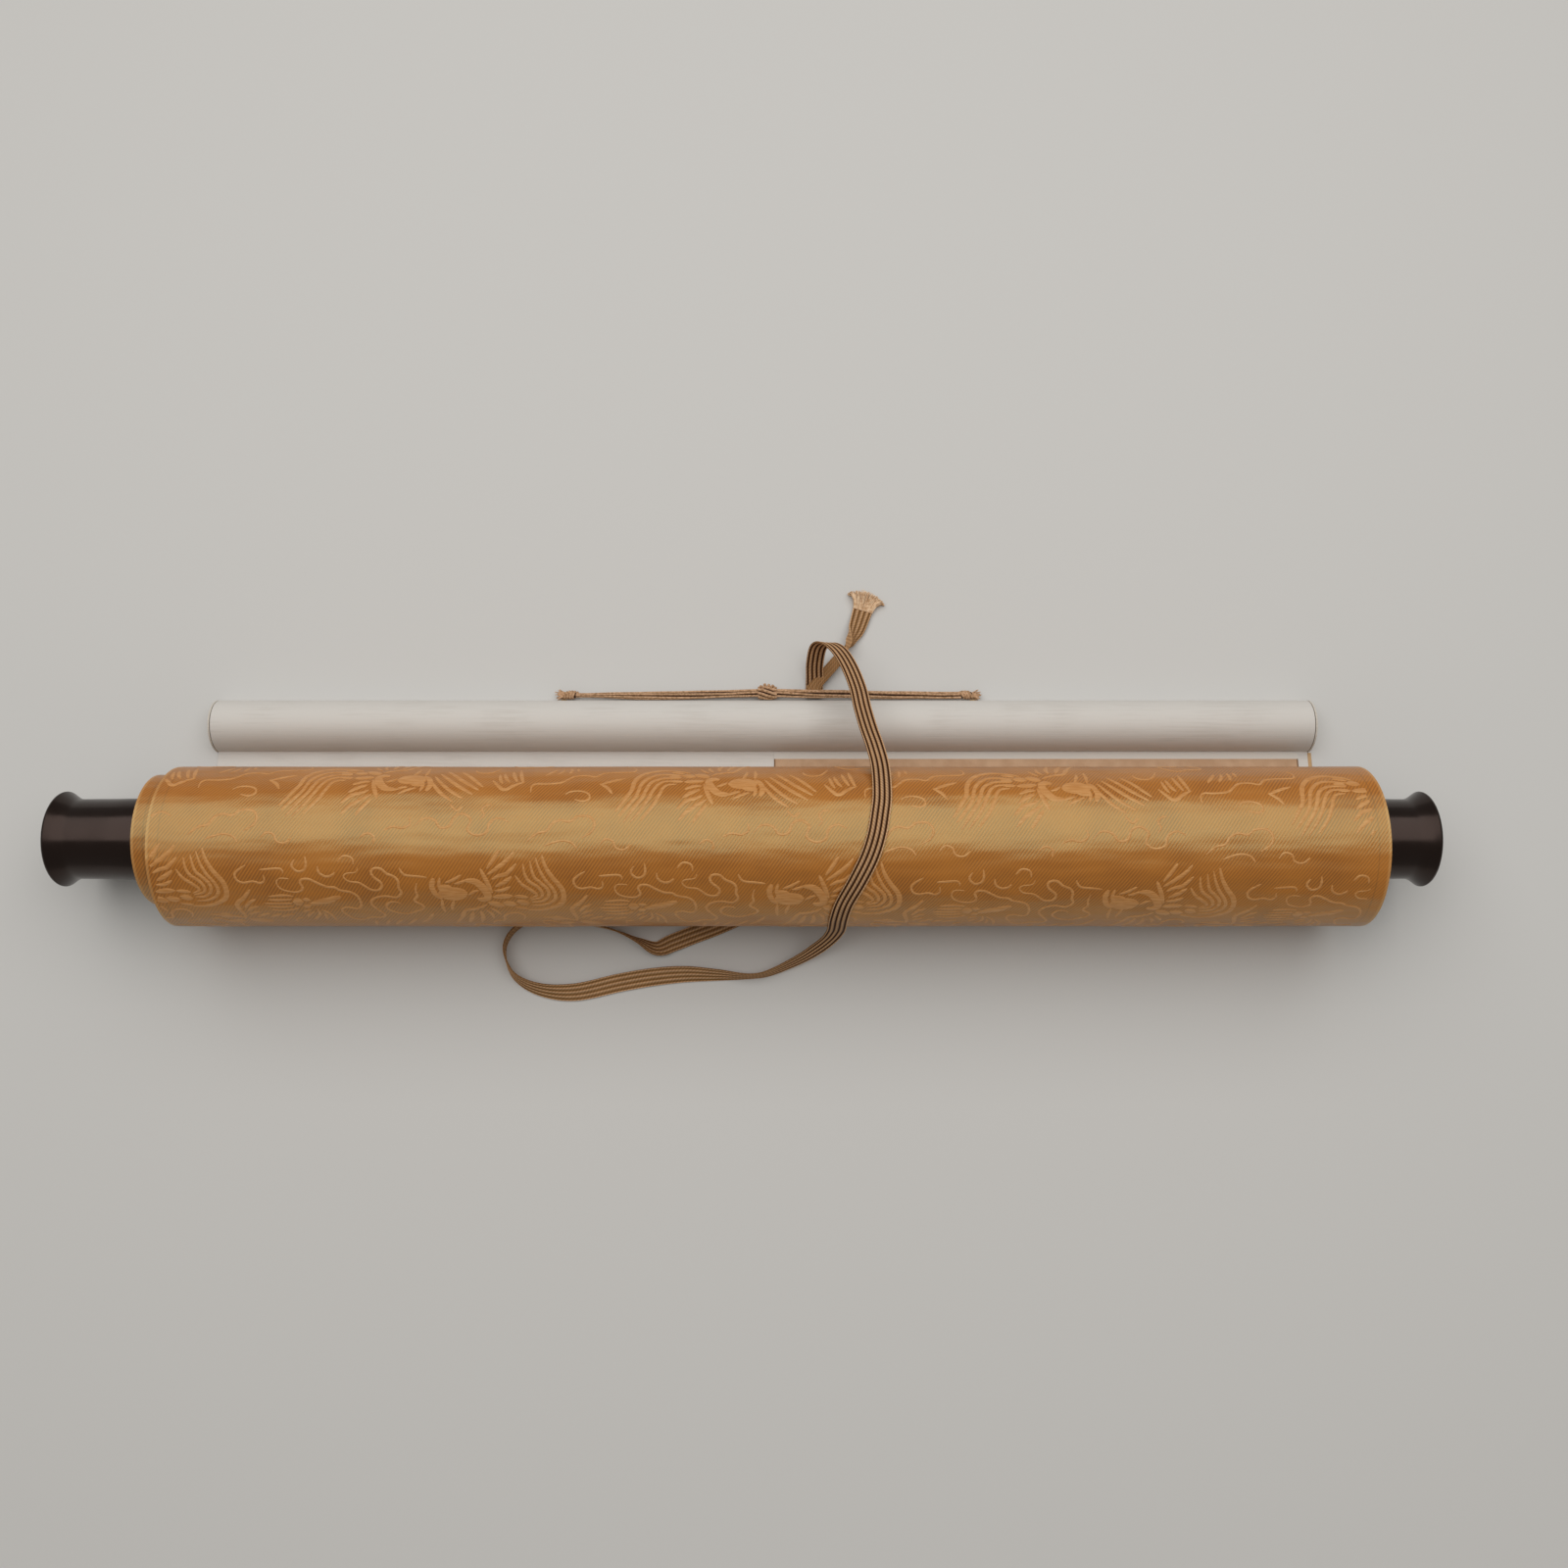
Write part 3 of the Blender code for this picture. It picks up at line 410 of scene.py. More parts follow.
# %% Ribbon route: each middle point is followed by the direction that the outer face looks in
RIBBON_ROUTE = [
    (12.0, -14.6, 0.6), (0.0, 0.0, 1.0), (2.0, -18.6, 0.6), (0.0, 0.0, 1.0),
    (-9.3, -23.5, 0.7), (0.0, 0.0, 1.0), (-18.0, -26.8, 0.8), (0.0, 0.0, 1.0),
    (-24.5, -29.4, 1.2), (0.05, 0.15, 1.0), (-29.9, -31.4, 2.0), (0.2, 0.6, 0.8),
    (-36.2, -28.7, 3.2), (0.4, 0.87, 0.3), (-41.9, -26.2, 3.4), (0.35, 0.93, 0.1),
    (-48.0, -24.3, 3.4), (0.2, 0.97, 0.05), (-58.0, -22.4, 3.4), (0.05, 1.0, 0.0),
    (-68.0, -21.6, 3.4), (-0.15, 1.0, 0.0), (-75.0, -22.9, 3.4), (-0.5, 0.85, 0.0),
    (-80.0, -27.2, 3.4), (-0.9, 0.4, 0.0), (-81.3, -33.2, 3.3), (-1.0, -0.1, 0.1),
    (-77.6, -40.9, 3.2), (-0.7, -0.6, 0.3), (-68.9, -45.3, 2.9), (-0.25, -0.75, 0.6),
    (-57.1, -46.1, 1.9), (0.0, -0.45, 0.9), (-42.3, -42.9, 1.4), (0.05, -0.25, 0.97),
    (-31.0, -41.0, 1.7), (0.05, -0.35, 0.93), (-20.0, -40.1, 2.3), (0.0, -0.6, 0.8),
    (-9.0, -40.4, 3.0), (0.0, -0.85, 0.5), (1.6, -40.9, 3.5), (0.05, -1.0, 0.15),
    (8.5, -39.8, 3.7), (0.2, -0.97, 0.2), (18.8, -35.3, 4.8), (0.3, -0.85, 0.4),
    (25.0, -31.8, 7.6), (0.2, -0.8, 0.5), (28.6, -29.4, 12.5), (0.1, -0.9, 0.4),
    (30.2, -28.0, 19.0), (0.0, -0.98, 0.15), (30.6, -27.4, 26.5), (0.0, -1.0, 0.05),
    (30.9, -25.6, 35.8), (0.0, -0.94, 0.34), (32.4, -21.7, 42.8), (0.0, -0.8, 0.6),
    (36.4, -15.3, 48.9), (0.0, -0.56, 0.83), (39.9, -8.6, 52.2), (0.0, -0.32, 0.95),
    (42.1, -2.0, 53.5), (0.0, -0.07, 1.0), (43.4, 5.0, 53.1), (0.0, 0.19, 0.98),
    (44.2, 11.5, 51.1), (0.05, 0.43, 0.9), (44.2, 21.7, 45.2), (0.1, 0.55, 0.83),
    (43.0, 30.0, 39.6), (0.1, 0.55, 0.83), (41.2, 37.9, 34.5), (0.1, 0.53, 0.84),
    (39.7, 46.0, 29.5), (0.12, 0.5, 0.85), (38.4, 54.6, 24.8), (0.15, 0.48, 0.86),
    (35.7, 63.5, 20.8), (0.15, 0.5, 0.85), (32.4, 69.8, 18.4), (0.1, 0.65, 0.75),
    (28.6, 73.3, 15.6), (0.0, 0.95, 0.3), (25.6, 73.1, 11.8), (0.0, 0.95, -0.3),
    (24.4, 68.9, 6.2), (0.0, 0.7, -0.7), (24.4, 64.6, 2.2), (0.0, 0.5, -0.86),
    (24.3, 61.4, 0.6), (0.0, 0.1, -1.0), (24.2, 59.2, 0.5), (0.0, 0.0, -1.0),
    (24.1, 57.9, 1.2), (-0.1, -1.0, 0.0), (23.9, 59.2, 1.9), (-0.05, -0.1, 1.0),
    (24.8, 62.1, 2.1), (0.0, 0.0, 1.0), (28.1, 66.1, 2.4), (0.0, 0.0, 1.0),
    (31.8, 70.4, 2.6), (-0.1, 0.1, 1.0), (35.2, 74.9, 3.4), (-0.8, 0.6, 0.5),
    (37.8, 79.3, 3.2), (-0.75, 0.4, -0.6), (39.8, 84.0, 1.7), (-0.2, 0.1, -1.0),
    (42.2, 91.6, 1.1), (0.0, 0.0, -1.0),
]


def ribbon_frames(spacing):
    """The ribbon's middle, the way along it, the way across it and its face, point by point."""
    rows = [
        tuple(value * MM for value in place) + face
        for place, face in zip(RIBBON_ROUTE[::2], RIBBON_ROUTE[1::2])
    ]
    points, length = smooth_route(rows, spacing)
    frames = []
    for i, row in enumerate(points):
        before, after = points[max(i - 1, 0)], points[min(i + 1, len(points) - 1)]
        along = (Vector(after[:3]) - Vector(before[:3])).normalized()
        across = along.cross(Vector(row[3:])).normalized()
        frames.append((Vector(row[:3]), along, across, across.cross(along)))
    return frames, length


ribbon_line, ribbon_length = ribbon_frames(1.1 * MM)
print("tie ribbon length:", round(ribbon_length, 4))

# %% Ribbed cross-section and the ribbon


def rib_profile():
    """(place across, height share) points over the ribs, from one edge to the other."""
    points, place = [], 0.0
    for number, width in enumerate(RIB_WIDTHS):
        for share in (0.04, 0.25, 0.5, 0.75, 0.96):
            points.append((place + width * share, 0.45 + 0.55 * math.sin(math.pi * share) ** 0.7))
        place += width
        if number < len(RIB_WIDTHS) - 1:
            points.append((place + GROOVE_WIDTH / 2.0, 0.4))
            place += GROOVE_WIDTH
    return [(across * MM - RIBBON_WIDTH / 2.0, high) for across, high in points]


def ring_scales(v):
    """How much wider and thicker the ribbon is: slim behind its hook, twisted, spread at its end."""
    before_end = (ribbon_length - v) / MM
    slim = smooth_step((38.0 - before_end) / 4.0) * smooth_step((before_end - 8.0) / 9.0)
    bunch = math.exp(-((before_end - 15.0) / 2.0) ** 2)
    spread = min(max((9.0 - before_end) / 8.0, 0.0), 1.0)
    return 1.0 - 0.34 * slim - 0.12 * bunch + 0.16 * spread, 1.0 + 0.8 * slim + 2.6 * bunch


def make_ribbon():
    """The section carried along the route, with both faces painted by the same UV places."""
    top = rib_profile()
    section = [(u, h * RIBBON_THICKNESS / 2.0) for u, h in top]
    section += [(u, -h * RIBBON_THICKNESS / 2.0) for u, h in reversed(top)]
    v_places = [ribbon_length * i / (len(ribbon_line) - 1) for i in range(len(ribbon_line))]
    rings = []
    for (middle, _, across, face), v in zip(ribbon_line, v_places):
        wide, thick = ring_scales(v)
        rings.append([middle + across * (u * wide) + face * (h * thick) for u, h in section])
    places = [u + RIBBON_WIDTH / 2.0 for u, h in section]
    builder = bmesh.new()
    sweep(builder, rings, v_places, places + places[:1])
    return mesh_piece("cotton_tie_ribbon", builder, braid_material())


ribbon = make_ribbon()
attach(ribbon, "root")
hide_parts("tie_ribbon")

# %% [markdown]
# ## The ribbon's frayed end
# The ribbon was cut and its end left to fray: the yarns of the five cords have come apart and
# fan out into a soft brush. Each yarn is a thin tapered tube that curves away from the middle.

# %% Frayed tuft


def plain_cotton(name, light, dark, scale=1400.0):
    """Spun cotton yarn: matt, a little hairy, its colour uneven from fibre to fibre."""
    return uneven(name, {
        "Roughness": 0.8, "Specular IOR Level": 0.12, "Sheen Weight": 0.1, "Sheen Roughness": 0.5,
    }, dark, light, scale, 3.0, high=0.62, relief=(0.4, 0.08 * MM))


def scatter(seed):
    """A steady value from -1 to 1 for a number, the same in every run."""
    return noise.noise(Vector((seed * 1.37, seed * 0.71 + 4.0, 2.5))) * 1.8


def make_tuft(yarns=260, in_layer=40, steps=7):
    """Layers of yarns from the ribbon's end, each one bent away from the middle."""
    middle, along = ribbon_line[-1][:2]
    along = Vector((along.x, along.y, 0.0)).normalized()
    across = Vector((along.y, -along.x, 0.0))
    up = Vector((0.0, 0.0, 1.0))
    builder = bmesh.new()
    for number in range(yarns):
        side = math.sin((-1.0 + 2.0 * (number % in_layer) / (in_layer - 1.0)) * math.pi / 2.0)
        side += 0.06 * scatter(number)
        layer = (number // in_layer - 3) / 3.0
        reach = (8.3 + 0.45 * scatter(number + 50.3) - 1.3 * abs(side) ** 2) * MM
        start = middle - along * (1.2 * MM) + across * (side * 3.3 * MM) + up * (layer * 0.25 * MM)
        points = []
        for step in range(steps + 1):
            t = step / steps
            out = side * (0.8 * t + 2.5 * t ** 2) + 0.3 * scatter(number * 3.1 + 9.0) * t ** 1.5
            lift = layer * (0.2 + 1.3 * t) + 0.3 * scatter(number * 2.3 + 31.0) * t
            drop = (0.4 * max(abs(side) - 0.5, 0.0) + 0.25) * t ** 3
            curl = 0.12 + 0.2 * side * side
            point = start + along * (reach * (t - curl * t ** 4)) + across * (out * MM)
            point += up * ((lift + 0.55 * math.sin(math.pi * t) - drop) * MM)
            point.z = max(point.z, 0.3 * MM)
            points.append(point)
        add_tube(builder, points, lambda t: (0.2 - 0.1 * t) * MM, 5, steps_along(steps + 1, 0.01 / steps))
    tuft = mesh_piece("frayed_tuft", builder, plain_cotton("frayed_cotton", "#EBCDAA", "#C49C74", 900.0))
    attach(tuft, "root")
    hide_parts("ribbon_tuft")
    return tuft


tuft = make_tuft()
tuple(ribbon_line[0][0])
[tuple(row[0]) for row in ribbon_line]

# %% [markdown]
# ## Hanging cord and its knots
# The hanging cord is a slack, flattish bunch of thin light and dark strands, laid side by side
# along the back of the stave. Each end is knotted to a wire eye and frays beyond its knot, and a
# slanting lashing holds the bunch near its middle. The strands are swept one by one, and the
# wraps of a knot are one long helix.

# %% Hanging cord
CORD_ROUTE = [
    (-60.4, 58.5, 1.9), (-55.0, 58.5, 1.8), (-47.0, 58.5, 1.8), (-38.0, 58.4, 1.7),
    (-26.0, 58.5, 1.7), (-14.0, 58.8, 1.9), (-4.0, 59.0, 2.3), (7.6, 59.1, 2.8),
    (16.0, 58.7, 3.5), (24.5, 58.4, 3.9), (33.0, 58.5, 3.4), (41.0, 58.6, 2.4),
    (51.0, 58.6, 1.8), (62.0, 58.6, 1.8), (70.0, 58.5, 1.8), (76.4, 58.5, 1.9),
]
cord_points, cord_length = smooth_route([tuple(v * MM for v in p) for p in CORD_ROUTE], 1.0 * MM)
cord_line = [Vector(point) for point in cord_points]
cord_light = plain_cotton("light_cotton_strand", "#CDA683", "#987452")
cord_dark = plain_cotton("dark_cotton_strand", "#4A2E1C", "#2C1A10")


def oval_ring(centre, deep, high, sides):
    """A ring of points round the cord at one place along it."""
    angles = [TURN * k / sides for k in range(sides)]
    return [centre + Vector((0.0, deep * math.cos(angle), high * math.sin(angle))) for angle in angles]


def darken_core(piece, faces):
    """Gives the faces of the core, which was built first, the dark strand's material; between strands and wraps
    it shows as painted shade.
    """
    piece.data.materials.append(cord_dark)
    for face in piece.data.polygons[:faces]:
        face.material_index = 1


def make_cord(strands=6, core_sides=12):
    """Six light strands round a flat dark core, which shows between them as dark lines: partly the cord's dark
    strands, partly painted shade in the gaps between them.
    """
    builder = bmesh.new()
    v_places = [cord_length * k / (len(cord_line) - 1) for k in range(len(cord_line))]
    widths = [
        MM * (0.55 + 0.5 * smooth_step(s / 0.22) - 0.12 * smooth_step((s - 0.6) / 0.4))
        for s in (k / (len(cord_line) - 1) for k in range(len(cord_line)))
    ]
    sweep(builder, [
        oval_ring(middle, wide, 0.62 * wide, core_sides) for middle, wide in zip(cord_line, widths)
    ], v_places)
    for strand in range(strands):
        points = []
        for i, (middle, wide) in enumerate(zip(cord_line, widths)):
            s = i / (len(cord_line) - 1)
            angle = TURN * strand / strands + 1.6 * s + 0.22 * scatter(strand * 7.0 + s * 5.0)
            away = wide * (1.08 + 0.06 * scatter(strand * 3.0 + s * 9.0))
            points.append(middle + Vector((0.0, math.cos(angle), math.sin(angle) * 0.66)) * away)
        add_tube(builder, points, lambda t: (0.22 + 0.17 * smooth_step(t / 0.2)) * MM, 8, v_places)
    cord = mesh_piece("bunched_hanging_cord", builder, cord_light)
    darken_core(cord, core_sides * (len(cord_line) - 1) + 2)
    return cord


hanging_cord = make_cord()
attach(hanging_cord, "root")
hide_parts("hanging_cord")
print("hanging cord length:", round(cord_length, 4))

# %% Knots and lashing
CORE_STEPS, CORE_SIDES = 6, 14


def add_wraps(builder, centre, length, radius, wraps, strand, slant):
    """A strand wound round the cord, each wrap leaning a little along it."""
    def place_of(t):
        angle = TURN * wraps * t
        wide = radius * (0.8 + 0.2 * math.sin(math.pi * t) ** 0.5) - strand
        along = (t - 0.5) * (length - 2.0 * strand) + slant * math.cos(angle)
        return (along, math.cos(angle) * wide, math.sin(angle) * wide * 0.85)

    add_strand(builder, centre, place_of, wraps * 14, strand, 7)


def add_core(builder, centre, length, deep, high):
    """The dark heart of a knot, which shows between its wraps as painted shade."""
    rings = []
    for step in range(CORE_STEPS + 1):
        share = step / CORE_STEPS - 0.5
        full = 1.0 - 1.1 * share ** 2
        place = centre + Vector((share * length, 0.0, 0.0))
        rings.append(oval_ring(place, deep * full, high * full, CORE_SIDES))
    sweep(builder, rings, steps_along(CORE_STEPS + 1))


def knot_piece(name, node, builder):
    """A finished knot: its core, which was built first, is dark as painted shade between the wraps, and the
    rest is light.
    """
    knot = mesh_piece(name, builder, cord_light)
    darken_core(knot, CORE_SIDES * CORE_STEPS + 2)
    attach(knot, "root")
    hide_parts(node)
    return knot


def add_fan(builder, root, side, reach, in_layer=13):
    """Two layers of short cut yarns that spread from a knot's outer end."""
    for number in range(2 * in_layer):
        turn = -1.0 + 2.0 * (number % in_layer) / (in_layer - 1.0)
        layer = 0.5 if number < in_layer else -0.35
        away = reach * (0.85 + 0.2 * scatter(number * 1.9 + side * 40.0))
        add_strand(builder, root, lambda t: (
            side * away * t * (1.0 - 0.25 * t * abs(turn)),
            (turn * (0.7 + 1.1 * t ** 1.6) + 0.25 * scatter(number + 7.7) * t) * MM,
            (layer * (0.5 + 1.2 * t) - 0.4 * t * t) * MM,
        ), 5, lambda t: (0.24 - 0.08 * t) * MM, 5)


def end_knot(name, node, side):
    """The knot at one end of the cord: a few leaning wraps, then the frayed ends of the strands."""
    low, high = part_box(node)
    middle, length = (low + high) / 2.0, (high - low).x
    builder = bmesh.new()
    inner = middle - Vector((side * (0.24 * length + 0.3 * MM), 0.0, 0.0))
    add_core(builder, inner, 0.52 * length, 1.3 * MM, 1.1 * MM)
    add_wraps(builder, inner, 0.52 * length + 0.8 * MM, 1.7 * MM, 4, 0.48 * MM, -side * 0.6 * MM)
    add_fan(builder, inner + Vector((side * 0.2 * length, 0.0, 0.0)), side, 0.55 * length)
    return knot_piece(name, node, builder)


def make_lashing(strands=8):
    """The lashing: strands laid side by side round the cord, slanting, with loops left on top."""
    low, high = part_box("cord_knot_middle")
    centre, length = (low + high) / 2.0, (high - low).x
    builder = bmesh.new()
    add_core(builder, centre, length - 1.2 * MM, 1.95 * MM, 1.6 * MM)
    for strand in range(strands):
        def place_of(t):
            angle = TURN * strand / strands + 1.1 * (t - 0.5)
            full = (1.0 - 0.75 * (t - 0.5) ** 2 + 0.03 * scatter(strand * 2.7)) * MM
            along = (t - 0.5) * (length - 0.9 * MM)
            return (along, 2.05 * full * math.cos(angle), 1.7 * full * math.sin(angle))

        add_strand(builder, centre, place_of, 8, 0.5 * MM, 8)
    for across, reach in ((-2.3, 1.0), (-0.9, 1.7), (0.5, 1.5), (1.9, 1.2)):
        add_strand(builder, centre, lambda t: MM * Vector((
            across + 0.42 * math.cos(math.pi * t), 1.1 + reach * math.sin(math.pi * t) ** 0.8,
            1.0 + 0.6 * math.sin(math.pi * t),
        )), 10, 0.33 * MM, 7)
    return knot_piece("cord_lashing", "cord_knot_middle", builder)


knots = [
    end_knot("cord_knot_wrap_left", "cord_knot_left", -1.0),
    end_knot("cord_knot_wrap_right", "cord_knot_right", 1.0),
    make_lashing(),
]

# %% [markdown]
# ## The winding
# Sheet and cover share one spiral. Its angle is counted from the table, up the front and over
# the top. The outer turn has sprung loose and draws in to the tight roll at the back, where each
# turn then lies one paper's thickness inside the last. The turns have also slipped a little
# sideways along the roller, which is why the inner ones stand out at the left end.

# %% The winding's formula
COVER_WIDTH, COVER_THICKNESS = 385.5 * MM, 0.3 * MM
SHEET_WIDTH, SHEET_THICKNESS = 384.0 * MM, 0.4 * MM
OUTER_RADIUS, INNER_RADIUS, FLAT_SPOT, INNER_BACK = 26.5 * MM, 21.9 * MM, 6.0 * MM, 2.6 * MM
COVERED_PITCH, TURN_PITCH, TAIL_STACK = 0.9 * MM, 0.5 * MM, 1.15 * MM
ROLLER_RADIUS = 12.5 * MM
SHEET_DEPTH = 0.6 * MM   # from the cover's outer face to the middle of the sheet under it
# Degrees round the winding: where it starts to draw in and to lose its slip, and over how many.
DRAW_IN_FROM, DRAW_IN_OVER = 195.0, 157.0
SLIP_ENDS_FROM, SLIP_ENDS_OVER = 250.0, 145.0
OUTER_AXIS = math.sqrt(OUTER_RADIUS ** 2 - (FLAT_SPOT / 2.0) ** 2)
INNER_AXIS = TAIL_STACK + INNER_RADIUS
INNER_TURNS = 1.0 + (INNER_RADIUS - 0.8 * MM - 0.3 * MM - ROLLER_RADIUS - COVERED_PITCH) / TURN_PITCH
START_ANGLE = math.asin(FLAT_SPOT / 2.0 / OUTER_RADIUS)


def station(angle):
    """The outer face at an angle: y, z, the inward direction, and the slip along the roller."""
    degrees = math.degrees(angle)
    tight = smooth_step((degrees - DRAW_IN_FROM) / DRAW_IN_OVER)
    wound = max(angle / TURN - 1.0, 0.0)
    depth = COVERED_PITCH * min(wound, 1.0) + TURN_PITCH * max(wound - 1.0, 0.0)
    radius = OUTER_RADIUS + (INNER_RADIUS - OUTER_RADIUS) * tight - depth
    in_y, in_z = math.sin(angle), math.cos(angle)
    # The tail has slipped 6.8 mm, and the front of the outer turn 1.9 mm more.
    slip = 6.8 + 1.9 * smooth_step(degrees / 80.0)
    slip *= 1.0 - smooth_step((degrees - SLIP_ENDS_FROM) / SLIP_ENDS_OVER)
    slip += 0.25 * math.sin(angle * 0.4) * smooth_step((angle - TURN) / TURN)
    return (
        INNER_BACK * tight - radius * in_y,
        OUTER_AXIS + (INNER_AXIS - OUTER_AXIS) * tight - radius * in_z,
        in_y, in_z, slip * MM,
    )


def cockle(x, angle):
    """How far the pasted cloth stands out at a place: low waves, none at the ends of the sheet."""
    s = OUTER_RADIUS * angle
    degrees = math.degrees(angle)
    fade = smooth_step((degrees - 15.0) / 30.0) * (1.0 - smooth_step((degrees - 300.0) / 40.0))
    wave = noise.noise(Vector((x * 26.0, s * 62.0, 1.7)))
    wave += 0.5 * noise.noise(Vector((x * 60.0, s * 150.0, 7.3)))
    return 0.2 * MM * fade * (0.5 + 0.5 * max(min(wave, 1.0), -1.0))


print("inner turns:", round(INNER_TURNS, 2))

# %% [markdown]
# ## White sheet
# The sheet itself is paper faced with white silk. It folds round the stave, lies flat on the
# table as the tail, and winds on to the roller in about seventeen turns. A flat grid is given one
# row for each station of that path, and Solidify gives it its thickness.

# %% White silk material


def silk_material():
    """Plain-woven silk on paper: off-white, softly lustrous, with fine ribs along the roller."""
    material, tree = new_material("white_silk_on_paper", {
        "Roughness": 0.58, "Specular IOR Level": 0.35, "Sheen Weight": 0.1,
    })
    uv = flat_place(tree)
    # Ribs of the weave are about 0.3 mm apart, drawn at 0.8 mm so that they show.
    ribs = stripes(tree, uv, 0.8 * MM, "Y", distortion=0.8)
    streaks = grain(tree, uv, 1.0, 3.0, (60.0, 1300.0, 1.0))
    mixed = calc(tree, "ADD", streaks, grain(tree, uv, 45.0, 4.0))
    tint = shades(tree, mixed, 0.6, "#C6C0B8", 1.0, "#D0CBC4")
    height = calc(tree, "ADD", ribs, streaks)
    return link(material, {"Base Color": tint, "Normal": bumps(tree, height, 0.25, 0.05 * MM)})


white_silk = silk_material()
print("material:", white_silk.name)

# %% The sheet's path and its grid
STAVE_MIDDLE, STAVE_WIDTH, STAVE_HEIGHT, STAVE_LOW = 47.3 * MM, 17.0 * MM, 9.1 * MM, 0.7 * MM
WRAP_GAP = 0.3 * MM + SHEET_THICKNESS / 2.0
TAIL_SLIP = 6.8 * MM
NEAR_EDGE = STAVE_MIDDLE - STAVE_WIDTH / 2.0 - 0.7 * MM


def sheet_path():
    """(y, z, slip) down the middle of the sheet's thickness, from the fold under the stave."""
    start = NEAR_EDGE + 0.9 * MM
    path = [(start + (13.6 * MM) * k / 6.0, SHEET_THICKNESS / 2.0, TAIL_SLIP) for k in range(6)]
    far = STAVE_MIDDLE + STAVE_WIDTH / 2.0
    for k in range(7):
        turn = -math.pi / 2.0 * (1.0 - k / 6.0)
        path.append((far + WRAP_GAP * math.cos(turn), STAVE_LOW + WRAP_GAP * math.sin(turn), TAIL_SLIP))
    for k in range(1, 33):
        turn = math.pi * k / 32.0
        path.append((
            STAVE_MIDDLE + (STAVE_WIDTH / 2.0 + WRAP_GAP) * math.cos(turn),
            STAVE_LOW + (STAVE_HEIGHT + WRAP_GAP) * math.sin(turn), TAIL_SLIP,
        ))
    path[-1] = (path[-1][0], path[-1][1] + 0.15 * MM, TAIL_SLIP)
    tail_end = NEAR_EDGE - 0.4 * MM
    y_first = station(START_ANGLE)[0]
    for k in range(12):
        path.append((tail_end + (y_first - tail_end) * k / 12.0, SHEET_DEPTH, TAIL_SLIP))
    angle = START_ANGLE
    while angle < TURN * (1.0 + INNER_TURNS):
        y, z, in_y, in_z, slip = station(angle)
        path.append((y + in_y * SHEET_DEPTH, z + in_z * SHEET_DEPTH, slip))
        angle += TURN / (120 if angle < TURN else 44)
    return path


def path_places(path):
    """How far along the path each of its points lies."""
    places = [0.0]
    for first, second in zip(path, path[1:]):
        places.append(places[-1] + math.dist(first[:2], second[:2]))
    return places


def cloth_grid(name, columns, rows, material):
    """A flat grid with one row of points for each station, ready to be laid on its path."""
    deselect()
    bpy.ops.mesh.primitive_grid_add(x_subdivisions=columns, y_subdivisions=rows - 1, size=1.0)
    cloth = bpy.context.object
    cloth.name = cloth.data.name = name
    cloth.data.materials.append(material)
    return cloth


def lay_cloth(cloth, columns, place_of, uv_of):
    """Puts each point of the grid in its place, and its flat place in the UV map."""
    mesh = cloth.data
    flat = [uv_of(i % (columns + 1), i // (columns + 1)) for i in range(len(mesh.vertices))]
    for i, vertex in enumerate(mesh.vertices):
        vertex.co = place_of(i % (columns + 1), i // (columns + 1))
    layer = mesh.uv_layers.active or mesh.uv_layers.new(name="cloth")
    for loop in mesh.loops:
        layer.data[loop.index].uv = flat[loop.vertex_index]
    mesh.update()


def thicken(cloth, thickness, offset):
    """Gives a laid cloth its thickness, its second side's material, and smooth faces."""
    pick(cloth)
    solid = cloth.modifiers.new("thickness", "SOLIDIFY")
    solid.thickness, solid.offset, solid.use_even_offset = thickness, offset, True
    solid.material_offset = solid.material_offset_rim = 1
    bpy.ops.object.modifier_apply(modifier=solid.name)
    bpy.ops.object.shade_smooth_by_angle(angle=math.radians(50))
    print(cloth.name, "faces:", len(cloth.data.polygons))


def make_sheet(columns=16):
    """One cloth from the fold under the stave to the roller."""
    path = sheet_path()
    places = path_places(path)
    sheet = cloth_grid("rolled_silk_sheet", columns, len(path), white_silk)

    def across(i):
        return (i / columns - 0.5) * SHEET_WIDTH

    lay_cloth(
        sheet, columns,
        lambda i, j: (path[j][2] - 0.75 * MM + across(i), path[j][0], path[j][1]),
        lambda i, j: (across(i), places[j]),
    )
    thicken(sheet, SHEET_THICKNESS, 0.0)
    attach(sheet, "root")
    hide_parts("rolled_sheet")
    return sheet, places[-1]


white_sheet, sheet_length = make_sheet()
print("sheet length:", round(sheet_length, 3))

# %% [markdown]
# ## Orange damask cover
# Damask has one colour of silk, woven two ways. The ground is a twill whose fine diagonal ridges
# scatter the light, and the figures are a smoother weave that looks paler from most sides. The
# ground is one cloth laid on the winding, with its low cockles from the paste.

# %% Damask ground material


